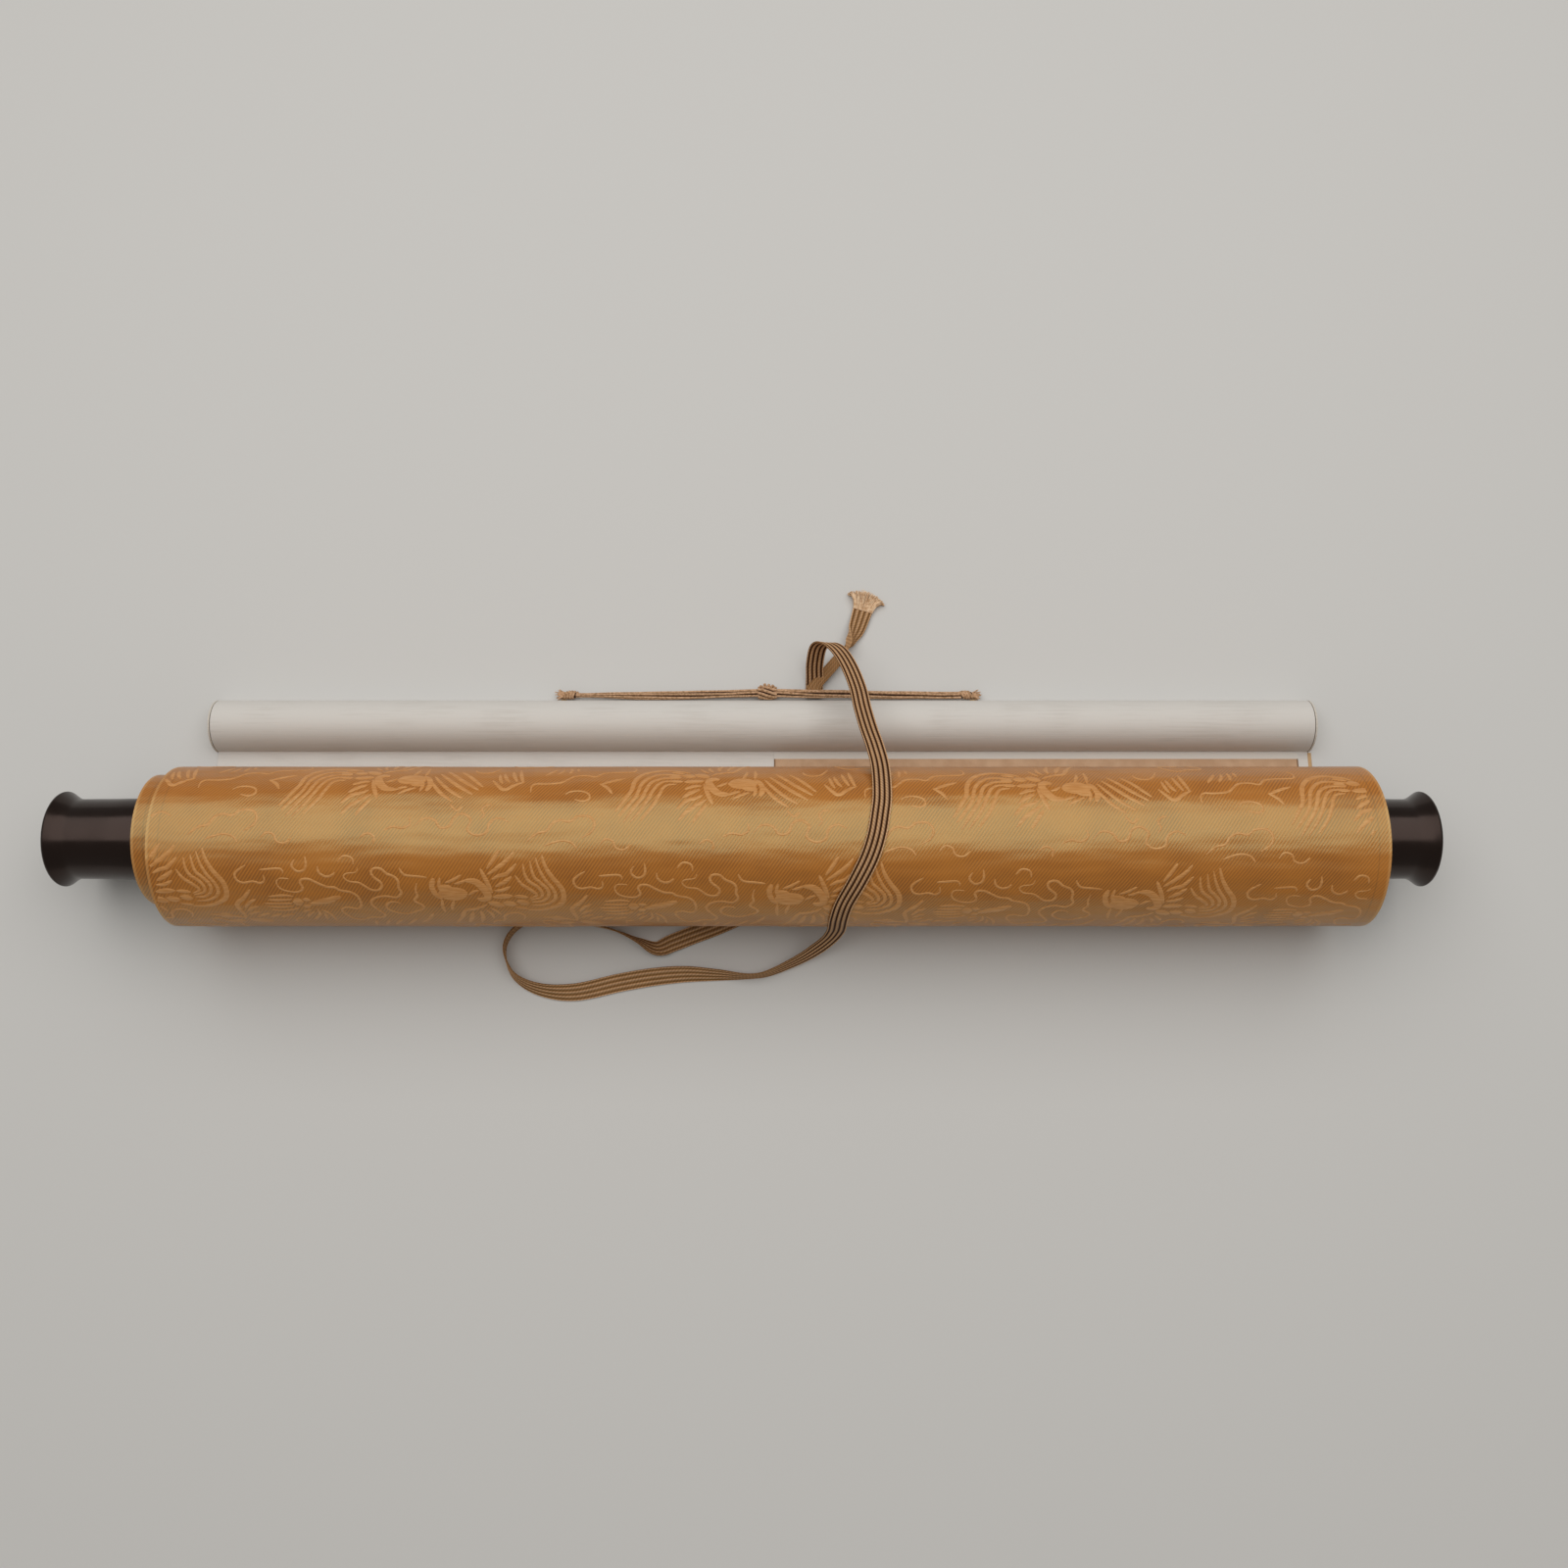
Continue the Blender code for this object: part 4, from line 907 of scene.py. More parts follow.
def damask_ground():
    """Silk twill, dyed orange-brown: a golden satin gloss broken by diagonal ridges."""
    material, tree = new_material("orange_damask_twill", {
        "Roughness": 0.34, "IOR": 1.65, "Specular IOR Level": 1.0, "Specular Tint": colour("#E6FFC6"),
    })
    uv = flat_place(tree)
    # Twill ridges are 0.7 mm apart, drawn at 0.9 mm so that they show.
    twill = stripes(tree, uv, 0.9 * MM, "X", 35, 0.6, 1.0, 2.0)
    mixed = calc(tree, "ADD", calc(tree, "MULTIPLY", twill, 0.6), grain(tree, uv, 60.0, 5.0))
    tint = shades(tree, mixed, 0.3, "#884306", 1.0, "#B76A18")
    # The long edges are folded under: a paler rim, which is painted highlight where the cloth rounds over the
    # fold, and the fold's inner edge shows as a thin line.
    edge, away = COVER_WIDTH / 2.0, calc(tree, "ABSOLUTE", axes(tree, uv)[0])
    painted_rim_highlight = rescale(tree, away, edge - 1.0 * MM, edge - 0.6 * MM, 0.0, 0.35)
    fold = calc(tree, "MULTIPLY", calc(tree, "COMPARE", away, edge - 3.8 * MM, 0.22 * MM), 0.3)
    tint = blend(tree, fold, blend(tree, painted_rim_highlight, tint, colour("#D9A264")), colour("#6E3606"))
    # Cockles from the paste, 45 mm long and 11 mm wide, which make the edge of the gloss ragged.
    cockles = bumps(tree, grain(tree, uv, 1.0, 2.0, (22.0, 90.0, 1.0)), 1.0, 1.2 * MM)
    return link(material, {"Base Color": tint, "Normal": bumps(tree, twill, 0.4, 0.07 * MM, cockles)})


damask = damask_ground()
print("material:", damask.name)

# %% The cover


def cover_path(count=230):
    """(y, z, inward y, inward z, slip, angle) on the cover's outer face, from the stave."""
    edge = NEAR_EDGE - 0.3 * MM
    y_first = station(START_ANGLE)[0]
    path = [(edge + (y_first - edge) * k / 12.0, 0.0, 0.0, 1.0, TAIL_SLIP, 0.0) for k in range(12)]
    for k in range(count + 1):
        angle = START_ANGLE + (TURN * 1.96 - START_ANGLE) * k / count
        path.append((*station(angle), angle))
    return path


def make_cover(columns=90):
    """One cloth on the winding's outer face, with its inner side in lining paper."""
    path = cover_path()
    places = path_places(path)
    start = places[12] - OUTER_RADIUS * START_ANGLE
    cover = cloth_grid("damask_cover", columns, len(path), damask)
    cover.data.materials.append(plain_cotton("lining_paper", "#C2A078", "#A88660", 300.0))

    def across(i):
        return (i / columns - 0.5) * COVER_WIDTH

    def place_of(i, j):
        y, z, in_y, in_z, slip, angle = path[j]
        x = slip + across(i)
        out = cockle(x, angle)
        return (x, y - in_y * out, z - in_z * out)

    lay_cloth(cover, columns, place_of, lambda i, j: (across(i), places[j] - start))
    thicken(cover, COVER_THICKNESS, -1.0)
    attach(cover, "root")
    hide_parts("brocade_cover")
    return cover, places[-1]


cover, cover_length = make_cover()
print("cover length:", round(cover_length, 3))

# %% [markdown]
# ## Damask figures
# Phoenixes, cranes, small birds and ribbon-like clouds repeat over the cloth: a traditional
# pattern in which every second row is turned upside down. Each feather or line of cloud is a
# brush stroke: a few points, a width and a way to taper. All strokes are splines of one curve
# object, which a flat bevel makes into low ridges, and the ridges are then laid on the winding.
#
# The figures stand only a tenth of a millimetre proud, as a satin weave does beside its twill.

# %% Strokes of one repeat of the pattern
FEATHER, LINE, OVAL = "feather", "line", "oval"


def strokes_of(kind, *rows):
    """Strokes of one kind. A row is a width, then places along the roller and round it, in mm."""
    return [(kind, row[0], list(zip(row[1::2], row[2::2]))) for row in rows]


PHOENIX = strokes_of(
    LINE,
    (1.7, -95.3, 67.8, -96.1, 65, -95.3, 62.2, -93.4, 60.3),
) + strokes_of(
    OVAL,
    (5.2, -94.3, 62.6, -90, 62.2, -85.2, 62.6),
    (2.2, -94.2, 64.8, -91.5, 64.6, -89.6, 64.4),
    (2.5, -79.2, 59, -76.7, 58.1, -74.3, 57.3),
    (2.4, -74.7, 58.8, -72.6, 58.4, -70.4, 58.2),
    (2.3, -70.2, 59.6, -68.3, 59.2, -66.4, 58.8),
    (1.2, -71.2, 57, -69, 56.4, -66.8, 56.2),
    (1.9, -77.5, 61.2, -74.4, 61.6, -71.2, 61.8),
    (1.3, -71, 61.7, -68.7, 61.6, -66.4, 61.3),
) + strokes_of(
    FEATHER,
    (1.2, -93.3, 68, -93.8, 65, -92.3, 61.5),
    (1.0, -91.9, 66.3, -89.2, 67.4, -86.6, 69.1),
    (1.0, -89, 66, -87, 66.5, -85.3, 67.5),
    (2.6, -85.6, 67.2, -82.5, 66.9, -80.4, 65, -79.1, 62.5, -79.2, 60.9, -80.6, 60.1, -82.4, 60.5),
    (1.0, -85, 61.9, -83.4, 63.1, -81.6, 63.8),
    (1.1, -93.5, 59.9, -93.8, 57, -93.5, 53.8),
    (1.1, -89.7, 59.9, -90.6, 57.5, -91.1, 55),
    (1.4, -79.7, 58.1, -81.3, 56.9, -84.4, 55.6, -86.9, 55, -88.1, 52.5, -89.7, 49, -91.6, 45.6),
    (1.5, -84.7, 54.4, -85.9, 50, -87.2, 46.9),
    (1.4, -82.2, 54.6, -82, 51.2, -83.1, 47.2),
    (1.1, -80.3, 55.3, -79, 53.4, -78.8, 50.6),
    (1.0, -78.8, 56.3, -77.2, 54.7, -76.1, 52.8),
    (1.4, -77.5, 62.9, -78.8, 66.9, -80.6, 71.2),
    (1.2, -76.8, 63.7, -74.4, 63.9, -71.6, 65.3),
    (1.4, -76.3, 65.3, -73.4, 66.9, -71, 68.8),
    (1.3, -77.2, 67.7, -75, 69, -72.5, 69.8, -69.4, 73),
    (1.3, -78.4, 69.4, -75.3, 71.6, -71.9, 74.4, -70, 76.8),
    (1.2, -78.6, 71.2, -76.6, 74, -74.6, 77.2),
    (1.1, -65.8, 60.9, -63.6, 62.3, -65.6, 64.4, -68.1, 66.3, -69.9, 69.2),
    (1.1, -65.7, 60.3, -62.5, 61.3, -61.9, 63.1, -63.1, 65.3, -65.6, 67.2, -66.9, 69.7, -67.3, 73),
    (1.1, -65.5, 59.4, -62.5, 59.7, -60.2, 61.6, -60.1, 64.4, -62.2, 66.9, -64.1, 69, -65.2, 74),
    (1.1, -65.5, 57.9, -61.9, 58.2, -58.8, 60, -57.8, 62.5, -58.8, 65.3, -60.6, 67.8, -62.4, 71.5,
     -63.4, 75),
    (1.6, -67.1, 55.6, -62.5, 55.8, -59.4, 56.9, -56.3, 59, -55.3, 61.9, -55.9, 65.3, -58.4, 68.8,
     -60.5, 72.5, -61.5, 76),
)
CRANE = strokes_of(
    OVAL,
    (3.2, -60.6, 50.9, -58.5, 50.7, -56.2, 50.3),
    (3.2, -51.6, 48.6, -48.5, 47.2, -44.5, 47),
    (2.4, -59, 46.8, -56.5, 46.5, -53.4, 47.2),
) + strokes_of(
    FEATHER,
    (1.5, -47.9, 62.6, -50.4, 59.5, -53.2, 56.7, -52.9, 53.9, -52.3, 51.4, -52.6, 48.9),
    (1.2, -46.9, 58.9, -49.2, 57.4, -51, 55.1),
    (1.2, -46.9, 55.8, -49, 54.9, -50.7, 53.3),
    (1.2, -46.9, 53.3, -48.9, 52.5, -50.7, 51.4),
    (1.2, -44.1, 52.3, -46.4, 51.3, -48.5, 49.8),
    (1.2, -40.4, 52, -42.4, 51.1, -44.4, 49.8),
    (1.2, -36.3, 52, -38.8, 51.2, -41, 50),
    (1.3, -63.2, 51.2, -59.8, 51, -55, 50.1, -52.2, 49.3),
)
SMALL_BIRD = strokes_of(
    LINE,
    (0.8, -34.4, 49.5, -36.6, 48.9, -36.9, 46.4),
) + strokes_of(
    OVAL,
    (3.2, -35.4, 58, -33.7, 58.1, -32.1, 58.2),
    (1.5, -32.3, 59.2, -31, 59.1, -29.7, 58.9),
    (1.6, -32.6, 56.1, -31.3, 56.2, -30, 56.6),
) + strokes_of(
    FEATHER,
    (1.0, -34.8, 60.3, -37.9, 60.6, -42.6, 60.1),
    (1.0, -35.4, 59.1, -39.4, 58.7, -43.2, 58.7),
    (1.0, -35.7, 57.5, -39.4, 57.2, -44.4, 57.2),
    (1.0, -35.4, 56.3, -39.4, 55.6, -44, 55.9),
    (1.0, -34.1, 55.4, -36, 54.5, -38.8, 54, -42.9, 54.2),
    (2.4, -30.2, 57.1, -26.6, 58.3, -23.8, 59, -21.9, 59.9, -20, 60.6),
    (1.0, -30.4, 54.7, -31.9, 54, -33.2, 52.9),
    (1.0, -29.8, 53.4, -31.4, 52.1, -32.6, 50.4),
    (1.0, -28.5, 55, -28.4, 52, -31.3, 48.3),
    (1.0, -26.8, 52.8, -26.6, 50.9, -26.9, 48.9),
    (1.0, -27.3, 54.7, -24.8, 52, -24.1, 47.3),
)
CLOUDS = strokes_of(
    LINE,
    (0.9, -79.7, 45.9, -78.4, 48.4, -75.6, 49, -75.1, 51.9, -73.1, 53.6, -70.3, 53.8, -68.6, 51.9,
     -69.4, 49.5),
    (0.75, -48.2, 70.9, -50.4, 69.5, -51.9, 67.9, -51.3, 65.8, -49.4, 65, -46.6, 65.6, -44.4, 65, -42.9,
     66, -43, 67.9),
    (0.7, -44, 69.5, -38.5, 70, -37, 69.6, -36.8, 68.5),
    (0.8, -35.3, 66.7, -38, 66.8, -39.2, 65.7, -38.7, 63.7, -37, 62.5, -33.7, 62, -31.7, 62.8, -31.3,
     64, -32, 65.7, -31, 66.7, -29, 66.7, -27, 65.7, -24, 64.2, -21.3, 64, -20, 63, -16.7, 62.3, -14.7,
     60.7, -14.2, 57.3, -15.7, 55.3, -18.7, 56, -20.7, 55, -20.3, 52.7, -18, 49.3, -15.3, 48.8, -12.7,
     50.3, -9, 50.5, -7.8, 52.3, -9.3, 54.7, -10.8, 57, -10.7, 59, -8.7, 60.5, -6, 61, -2.7, 60.5, -0.8,
     62.5, -1.5, 64.3, -1.3, 66.3, -2.3, 68, -4.7, 69, -6.3, 70.5, -8.3, 70.7, -9.5, 69.7, -9, 68, -7,
     66.3, -6.5, 65, -7.7, 63.3, -10, 63.3, -12, 64.7, -13.7, 65.8, -16.7, 66.2, -18.2, 67.7, -17.3,
     68.8, -14.3, 69.3, -13.5, 70.7),
    (0.8, -1.7, 57.7, -2.7, 58.5, -5, 58.5, -6.5, 56.7, -5.7, 54.7, -3, 53.2, 0, 53, 3, 54.5, 5, 55.7,
     5, 57.3, 2.7, 59.3, 4, 61.3, 3.7, 63.3, 4.3, 66),
    (0.75, -33, 73, -34, 71, -32.3, 69.2, -30.3, 69.7, -29.5, 71.3, -29.7, 74),
    (0.75, -26, 71, -25.7, 69, -23.7, 67.7, -21.7, 68.2, -20.7, 69.2),
    (0.75, -0.7, 71, 0.7, 68.8, 4.7, 68.3, 7.7, 68),
)
FRONT_FAN = strokes_of(
    FEATHER,
    (1.2, -12.5, 43.6, -12.1, 46, -11.5, 48),
    (1.2, -9.3, 44, -8.2, 46.4, -7.3, 48.6),
    (1.2, -6.2, 44.2, -4.8, 46.6, -3, 48.9),
    (1.2, -2.4, 44.4, -0.2, 47.2, 2, 49.9),
    (1.2, 2.6, 46.4, 5.4, 49.6, 7.7, 53.4),
)
TURNED_TAIL = strokes_of(
    FEATHER,
    (1.5, -16.5, 107.5, -19.3, 108.9, -25, 109.8, -29.3, 108.3, -32.1, 105.8, -33.8, 102.2, -34.4, 98.2,
     -36.5, 94.1, -39, 90.1),
    (1.2, -18.8, 106.1, -24.3, 106.7, -27.5, 105.9, -30, 103.6, -31.6, 100.8, -32.6, 96.5, -34.6, 92.9,
     -37.9, 88.5),
    (1.2, -19.6, 104.4, -24.3, 104.4, -26.8, 103.3, -28.7, 101.6, -29.8, 98.6, -31, 95.2, -33.6, 90.8,
     -36.4, 86.4),
    (1.1, -20, 102.8, -23.6, 102.8, -25.8, 101.6, -27.2, 99.4, -28.6, 95.9, -30.7, 91.5, -34.3, 86.5),
    (1.1, -20.4, 101.3, -23, 101, -24.6, 99.4, -25.8, 96, -28, 91.4, -31, 87.3),
)
UPPER_CLOUDS = strokes_of(
    LINE,
    (0.8, -66, 96.6, -66, 99.4, -64.6, 100.6, -61.4, 100.6, -57, 101.3, -55, 103.1, -52.9, 105, -49.3,
     105.5, -46.4, 104.8, -44.6, 106.8, -42, 107.7, -38, 108.1, -34.6, 108.5, -34, 110.8, -35.4, 112.9),
    (0.75, -85.4, 109.3, -84.8, 107.6, -82.6, 106.7, -80, 107.3, -78.4, 109.6, -77.5, 111.6),
    (0.75, -66, 80.1, -63, 82.5, -60, 83.4, -58.6, 85.6, -56, 86.9, -53, 86.5, -50.6, 88.2, -47, 88.3,
     -45.2, 86.1, -46, 83.5, -49, 81.5),
    (0.75, -101, 84, -98.4, 86.6, -95, 86.2, -93, 83.8, -90, 84.4, -89, 87.2, -86.2, 88.4, -83.6, 86.4,
     -84.6, 83.4, -82, 81.6, -78.6, 82.6, -77.8, 85.6, -75, 87.2, -72, 86),
    (0.65, -90.7, 91.7, -89.4, 90.2, -88.2, 89.5, -86.6, 91),
    (0.65, -80.9, 86.6, -79.6, 88.2, -80.6, 90, -79.2, 91.6, -77.6, 91.8),
    (0.65, -55, 96.1, -53.6, 97.2, -50.7, 97.6, -47.9, 96.6, -47.4, 94.6, -49.4, 93.6, -52, 94.2),
    (0.65, -60.7, 78.7, -58, 79.8, -55, 80.5, -52.1, 79.8, -50.6, 78),
    (0.65, -43.4, 79.4, -41.8, 81.2, -39.4, 80.6, -38.6, 78.6, -36, 78, -33.8, 79.8),
    (0.65, -5.4, 82.6, -2.9, 83.8, 0.4, 83.4, 2.6, 84.8, 2.2, 87),
    (0.65, -12.8, 80.2, -10.6, 81.6, -8.4, 80.6, -8.6, 78.4),
    (0.65, -19.6, 72.6, -17.8, 74.4, -15.2, 73.8, -14.8, 71.8),
)
UPPER_FEATHERS = strokes_of(
    FEATHER,
    (1.1, -44.6, 100.5, -40.7, 102.4, -36.8, 103.9),
    (1.1, -44.6, 100.9, -42, 99, -40.4, 96.6),
    (1.1, -62.5, 105.2, -60.8, 107.6, -59.3, 110.2),
    (1.1, -58.8, 105.7, -57.5, 108, -57, 110.3),
    (1.1, -55, 106.7, -54.6, 109.2, -55, 111.3),
    (1.1, -52.5, 108.8, -52.6, 110.4, -53, 111.6),
    (1.2, -71, 109.3, -70.2, 105.2, -69, 101),
    (1.2, -73.2, 107.8, -72.2, 104.3, -70.9, 101.4),
    (1.2, -75.7, 106.3, -74.6, 103, -73.2, 101),
    (1.1, -77.1, 105.6, -76.4, 102.4, -75.4, 100.4),
    (1.3, -78.8, 102, -76.6, 99.3, -74.4, 97.6, -71.4, 99.8, -68.6, 101.5),
)
LONG_TAIL = strokes_of(
    FEATHER,
    (1.2, -89.6, 107.2, -86.8, 104.5, -84, 101.4, -81.3, 98.7),
    (1.3, -94, 107.5, -91.3, 104.6, -87.8, 101.2, -82.4, 97.2),
    (1.3, -96, 105.6, -92.8, 102.2, -89, 98.8, -84, 95.4),
    (1.2, -97.6, 104, -94.8, 100.2, -91.4, 96.8, -87, 93.8),
    (1.2, -98.6, 101.8, -96.4, 98.4, -93.8, 95.4, -90, 92.6),
)
DRAWN = PHOENIX + CRANE + SMALL_BIRD + CLOUDS + FRONT_FAN
DRAWN += TURNED_TAIL + UPPER_CLOUDS + UPPER_FEATHERS + LONG_TAIL
print("strokes drawn by hand:", len(DRAWN))

# %% Repeats of the pattern
REPEAT, ROW_REPEAT, DRIFT = 105.0, 86.0, -0.02
CLOTH_X, CLOTH_S = (-183.0, 196.5), (5.0, 161.0)


def shifted(strokes, by_x, by_s, flip=1.0):
    """The same strokes moved, and turned upside down by a flip of -1."""
    return [
        (kind, width, [(x * flip + by_x, s * flip + by_s) for x, s in points])
        for kind, width, points in strokes
    ]


def one_repeat():
    """The drawn strokes, the phoenix again upside down, and a long cloud behind it."""
    turned = shifted(PHOENIX[:-5], -89.3, 164.3, -1.0)
    behind = shifted(CLOUDS[3:4], -54.0, 64.0)
    return DRAWN + turned + behind


def half_width(kind, width, share):
    """Half the width of a stroke at a share of its length, tapered in its own way."""
    if kind == OVAL:
        return width / 2.0 * math.sqrt(max(1.0 - (2.0 * share - 1.0) ** 2, 0.02))
    if kind == FEATHER:
        return width / 2.0 * (0.3 + 0.7 * math.sin(math.pi * share) ** 0.6)
    return width / 2.0 * min(1.0, 0.45 + 4.0 * min(share, 1.0 - share))


def runs_on_cloth(kind, width, points):
    """The parts of a stroke that fall on the cloth, as (along, round, half width) points."""
    dense = smooth_route([(x, s, 0.0) for x, s in points], 0.85, 8)[0]
    runs = [[]]
    for i, (x, s, _) in enumerate(dense):
        s += DRIFT * (x + 92.0)
        if CLOTH_X[0] < x < CLOTH_X[1] and CLOTH_S[0] < s < CLOTH_S[1]:
            runs[-1].append((x, s, half_width(kind, width, i / (len(dense) - 1))))
        elif runs[-1]:
            runs.append([])
    return [run for run in runs if len(run) > 2]


def all_strokes():
    """Every stroke of every repeat, cut off at the edges of the cloth."""
    unit = one_repeat()
    return [
        run for column in range(-1, 4) for row in (-1, 0, 1)
        for stroke in shifted(unit, column * REPEAT, row * ROW_REPEAT)
        for run in runs_on_cloth(*stroke)
    ]


strokes = all_strokes()
print("strokes on the cloth:", len(strokes))

# %% Satin figures laid on the cover
PATTERN_SLIP = 8.7 * MM   # the slip of the outer turn's front, which the drawn places already hold
RELIEF = 0.1 * MM


def figure_material():
    """Satin-woven silk of the same cloth: longer floats, so a softer surface. Its paler colour is painted
    sheen, the satin catching more light than the twill.
    """
    # The paler shades below are painted sheen on the same orange silk as the ground.
    return uneven("damask_satin_figure", {
        "Roughness": 0.42, "IOR": 1.6, "Specular IOR Level": 0.75, "Specular Tint": colour("#D8F4C8"),
    }, "#BC7A3C", "#CE9054", 1.0, 2.0, (250.0, 2400.0, 2400.0), relief=(0.3, 0.05 * MM))


def face_outwards():
    """Turns the normals of the active piece outwards, from object mode."""
    bpy.ops.object.mode_set(mode="EDIT")
    bpy.ops.mesh.select_all(action="SELECT")
    bpy.ops.mesh.normals_make_consistent(inside=False)
    bpy.ops.object.mode_set(mode="OBJECT")


def make_figures():
    """The strokes as bevelled splines on a flat plane, made a mesh and bent on to the cover."""
    curve = bpy.data.curves.new("damask_figures", "CURVE")
    curve.dimensions, curve.twist_mode = "3D", "Z_UP"
    curve.bevel_depth, curve.bevel_resolution, curve.use_fill_caps = 1.0, 1, True
    for run in strokes:
        spline = curve.splines.new("POLY")
        spline.points.add(len(run) - 1)
        for point, (x, s, half) in zip(spline.points, run):
            point.co, point.radius = (x * MM, s * MM, 0.0, 1.0), half * MM
    figures = bpy.data.objects.new("damask_figures", curve)
    bpy.context.scene.collection.objects.link(figures)
    pick(figures)
    bpy.ops.object.convert(target="MESH")
    for vertex in figures.data.vertices:
        x, s, high = vertex.co
        angle = max(s, 3.1 * MM) / OUTER_RADIUS
        y, z, in_y, in_z, slip = station(angle)
        x += slip - PATTERN_SLIP
        out = cockle(x, angle) + RELIEF * min(max(high / (0.3 * MM), -1.0), 1.0)
        vertex.co = (x, y - in_y * out, z - in_z * out)
    figures.data.materials.clear()
    figures.data.materials.append(figure_material())
    face_outwards()
    bpy.ops.object.shade_smooth_by_angle(angle=math.radians(60))
    print("figures faces:", len(figures.data.polygons))
    return figures


figures = make_figures()
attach(figures, "root")

# %% [markdown]
# ## Knobs
# The knobs are turned wood under black lacquer. A circle is extruded from station to station and
# resized at each, as a lathe tool would move along it.

# %% Turned knobs


def lacquer_material():
    """Black lacquer on turned wood: near black, with a soft gloss and faint turning lines."""
    material, tree = new_material("black_lacquer", {
        "Base Color": colour("#100A08"), "IOR": 1.5, "Specular IOR Level": 0.45,
        "Specular Tint": colour("#FFDCCE"),
    })
    place = object_place(tree)
    turning = grain(tree, place, 1.0, 2.0, (900.0, 12.0, 12.0))
    rough = rescale(tree, grain(tree, place, 120.0, 5.0), 0.3, 0.7, 0.17, 0.27)
    return link(material, {"Roughness": rough, "Normal": bumps(tree, turning, 0.25, 0.03 * MM)})


def arc(x, radius, size, degrees):
    """Points of a rounded edge of the profile, at angles from the roller's direction."""
    turns = [math.radians(value) for value in degrees]
    return [(x + size * math.cos(turn), radius + size * math.sin(turn)) for turn in turns]


def knob_profile():
    """(distance from the roller's end, radius) from the bore to the dished end."""
    points = [(16.3, 0.02), (16.3, 7.3), (0.0, 7.3), (0.0, 12.9)]
    points += [(0.45 - 0.45 * math.cos(a), 13.05 + 0.45 * math.sin(a)) for a in (0.5, 1.0, 1.571)]
    points += [(12.7, 13.35), (25.0, 13.2)]
    for k in range(1, 15):
        share = k / 14.0
        points.append((25.4 + 5.3 * share, 13.2 + 2.5 * (1.0 - math.cos(share * math.pi / 2.0))))
    points += arc(30.7, 14.8, 0.9, [80.0 - 80.0 * k / 7.0 for k in range(1, 8)])
    points += [(31.6, 12.2), (31.45, 12.0), (30.75, 8.4), (30.45, 4.0), (30.4, 0.02)]
    return [(x * MM, radius * MM) for x, radius in points]


def turn_knob(profile, steps=96):
    """Extrudes and resizes a circle along X from one station of the profile to the next."""
    deselect()
    x, radius = profile[0]
    bpy.ops.mesh.primitive_circle_add(
        vertices=steps, radius=radius, fill_type="NGON", location=(x, 0, 0), rotation=(0, math.pi / 2, 0)
    )
    knob = bpy.context.object
    bpy.ops.object.transform_apply(location=True, rotation=True, scale=True)
    bpy.ops.object.mode_set(mode="EDIT")
    bpy.ops.mesh.select_all(action="SELECT")
    for (x0, r0), (x1, r1) in zip(profile, profile[1:]):
        bpy.ops.mesh.extrude_region_move(TRANSFORM_OT_translate={"value": (x1 - x0, 0, 0)})
        bpy.ops.transform.resize(value=(1, r1 / r0, r1 / r0), center_override=(x1, 0, 0))
    bpy.ops.object.mode_set(mode="OBJECT")
    face_outwards()
    bpy.ops.object.shade_smooth_by_angle(angle=math.radians(40))
    return knob


right_knob = turn_knob(knob_profile())
right_knob.data.materials.append(lacquer_material())
start = Matrix.Translation((COVER_WIDTH / 2.0 + 0.3 * MM, 0, 0))
seat = Matrix.Translation((0, INNER_BACK, INNER_AXIS))
for side, turn in (("left", math.pi), ("right", 0.0)):
    knob = right_knob.copy()
    knob.data = right_knob.data.copy()
    knob.name = "lacquered_knob_" + side
    bpy.context.scene.collection.objects.link(knob)
    knob.data.transform(seat @ Matrix.Rotation(turn, 4, "Z") @ start)
    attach(knob, "root")
    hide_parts("knob_" + side)
    print(knob.name, "faces:", len(knob.data.polygons))
bpy.data.objects.remove(right_knob)

# %% [markdown]
# ## Finishes of the carried-over parts
# The roller, stave, end patches, wire eyes and panel already have their right shape in the frame,
# so they keep it and get their real finish.

# %% Finishes of the carried-over parts
PANEL_LINE, WHITE_BAND = 0.25 * MM, 2.4 * MM


def wood_material(name, light, dark):
    """Planed softwood: growth rings drawn out into long grain along the roller."""
    return uneven(name, {"Roughness": 0.6}, dark, light, 1.0, 5.0, (12.0, 420.0, 420.0), relief=(0.3, 0.1 * MM))


def panel_material(low, high):
    """Sized beige paper: a thin printed line inside its edges, and a white band along the stave."""
    material, tree = new_material("beige_panel_paper", {"Roughness": 0.75})
    place = object_place(tree)
    tint = shades(tree, grain(tree, place, 220.0, 5.0), 0.35, "#B4906F", 0.65, "#C19E7D")
    parts, gaps = axes(tree, place), []
    for axis in (0, 1):
        middle, half = (low[axis] + high[axis]) / 2.0, (high[axis] - low[axis]) / 2.0
        away = calc(tree, "ABSOLUTE", calc(tree, "SUBTRACT", parts[axis], middle))
        gaps.append(calc(tree, "SUBTRACT", half, away))
    line = calc(tree, "COMPARE", calc(tree, "MINIMUM", *gaps), PANEL_LINE, PANEL_LINE)
    band = calc(tree, "GREATER_THAN", parts[1], high.y - WHITE_BAND)
    tint = blend(tree, band, blend(tree, line, tint, colour("#7C5A3A")), colour("#CFC9C0"))
    return link(material, {"Base Color": tint})


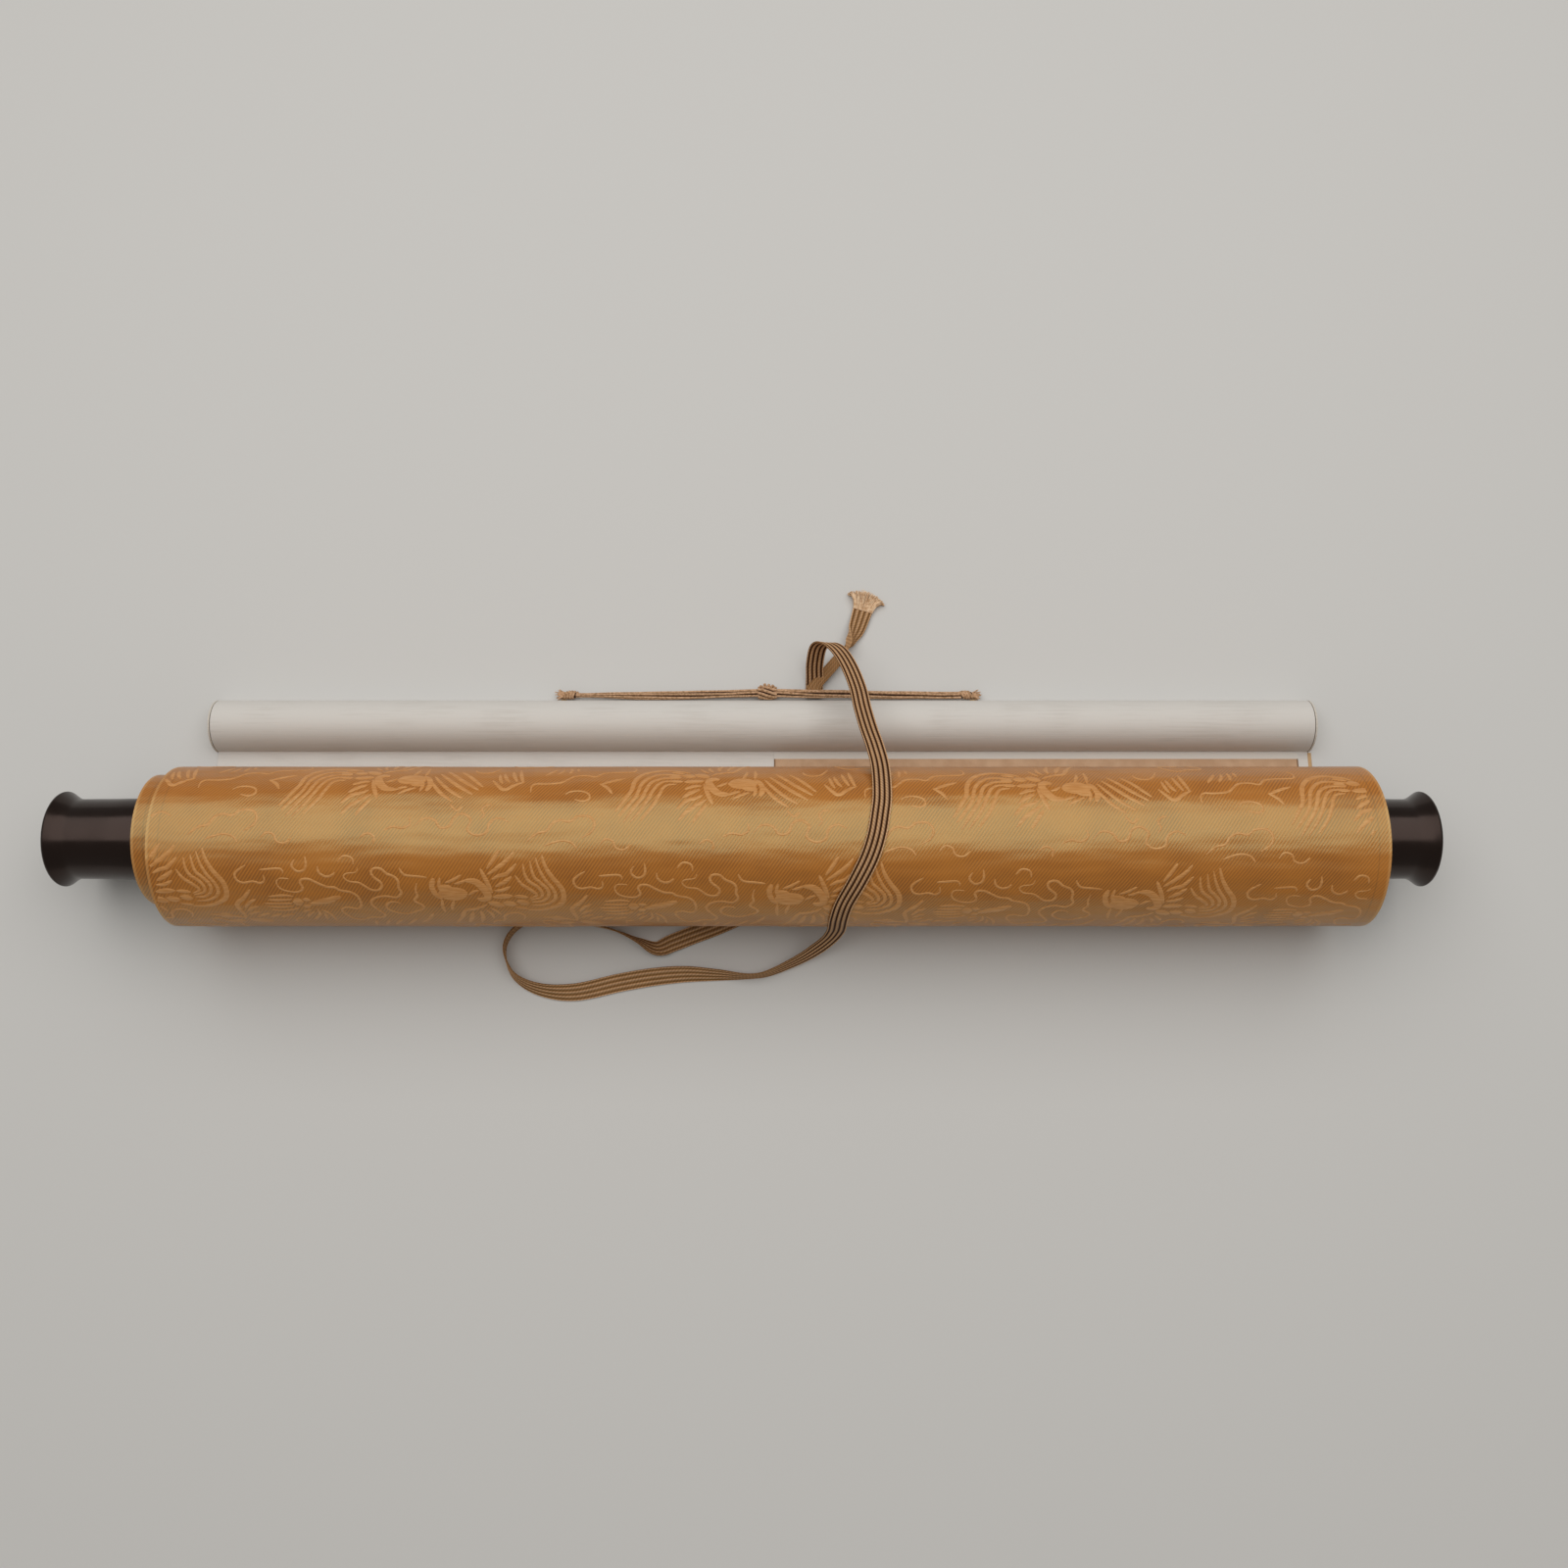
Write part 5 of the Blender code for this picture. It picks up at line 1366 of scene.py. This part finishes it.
def give(node, material):
    """Puts a finish on a carried-over part."""
    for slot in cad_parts[node].material_slots:
        slot.material = material
    print(node, "->", material.name)


give("roller_core", wood_material("cedar_roller", "#C79A68", "#9A6B3D"))
give("stave", wood_material("cedar_stave", "#CDA477", "#A37A4C"))
give("inner_panel", panel_material(*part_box("inner_panel")))
for node in ("stave_end_left", "stave_end_right"):
    give(node, plain_cotton("silk_end_patch", "#D3CBBF", "#C3BAAC", 2500.0))
# Drawn brass wire, dulled by handling.
brass = uneven("brass_wire", {"Metallic": 1.0, "Roughness": 0.35}, "#8C6A34", "#C29A55", 900.0, 3.0)
for node in ("cord_eye_left", "cord_eye_right"):
    give(node, brass)

# %% [markdown]
# ## Floor and light
# The scroll lies on a plain pale floor. One long soft lamp above and behind it draws the broad
# band of light along the roll, and an even pale sky fills the shadows.

# %% Floor and light
LAMP_DISTANCE, SKY_STRENGTH = 0.95, 0.26


def add_lamp(name, degrees, wide, deep, power):
    """A soft lamp that is tipped from overhead towards the back."""
    lean = math.radians(degrees)
    place = (0.0, LAMP_DISTANCE * math.sin(lean), LAMP_DISTANCE * math.cos(lean))
    bpy.ops.object.light_add(type="AREA", location=place, rotation=(-lean, 0, 0))
    lamp = bpy.context.object
    lamp.name, lamp.data.shape = name, "RECTANGLE"
    lamp.data.size, lamp.data.size_y, lamp.data.energy = wide, deep, power
    print(name, power, "W")


deselect()
bpy.ops.mesh.primitive_plane_add(size=6.0, location=(0, 0, -0.05 * MM))
floor = bpy.context.object
floor.name = "floor"
floor.data.materials.append(new_material("pale_floor", {
    "Base Color": colour("#CBC9C5"), "Roughness": 0.8,
})[0])
add_lamp("long_soft_lamp", 19, 1.7, 1.25, 10.5)

world = bpy.data.worlds.new("even_sky")
bpy.context.scene.world = world
world.use_nodes = True
sky = world.node_tree.nodes["Background"]
sky.inputs[0].default_value, sky.inputs[1].default_value = colour("#FAF7F2"), SKY_STRENGTH
bpy.context.scene.view_settings.view_transform = "Standard"
print("sky strength:", SKY_STRENGTH)
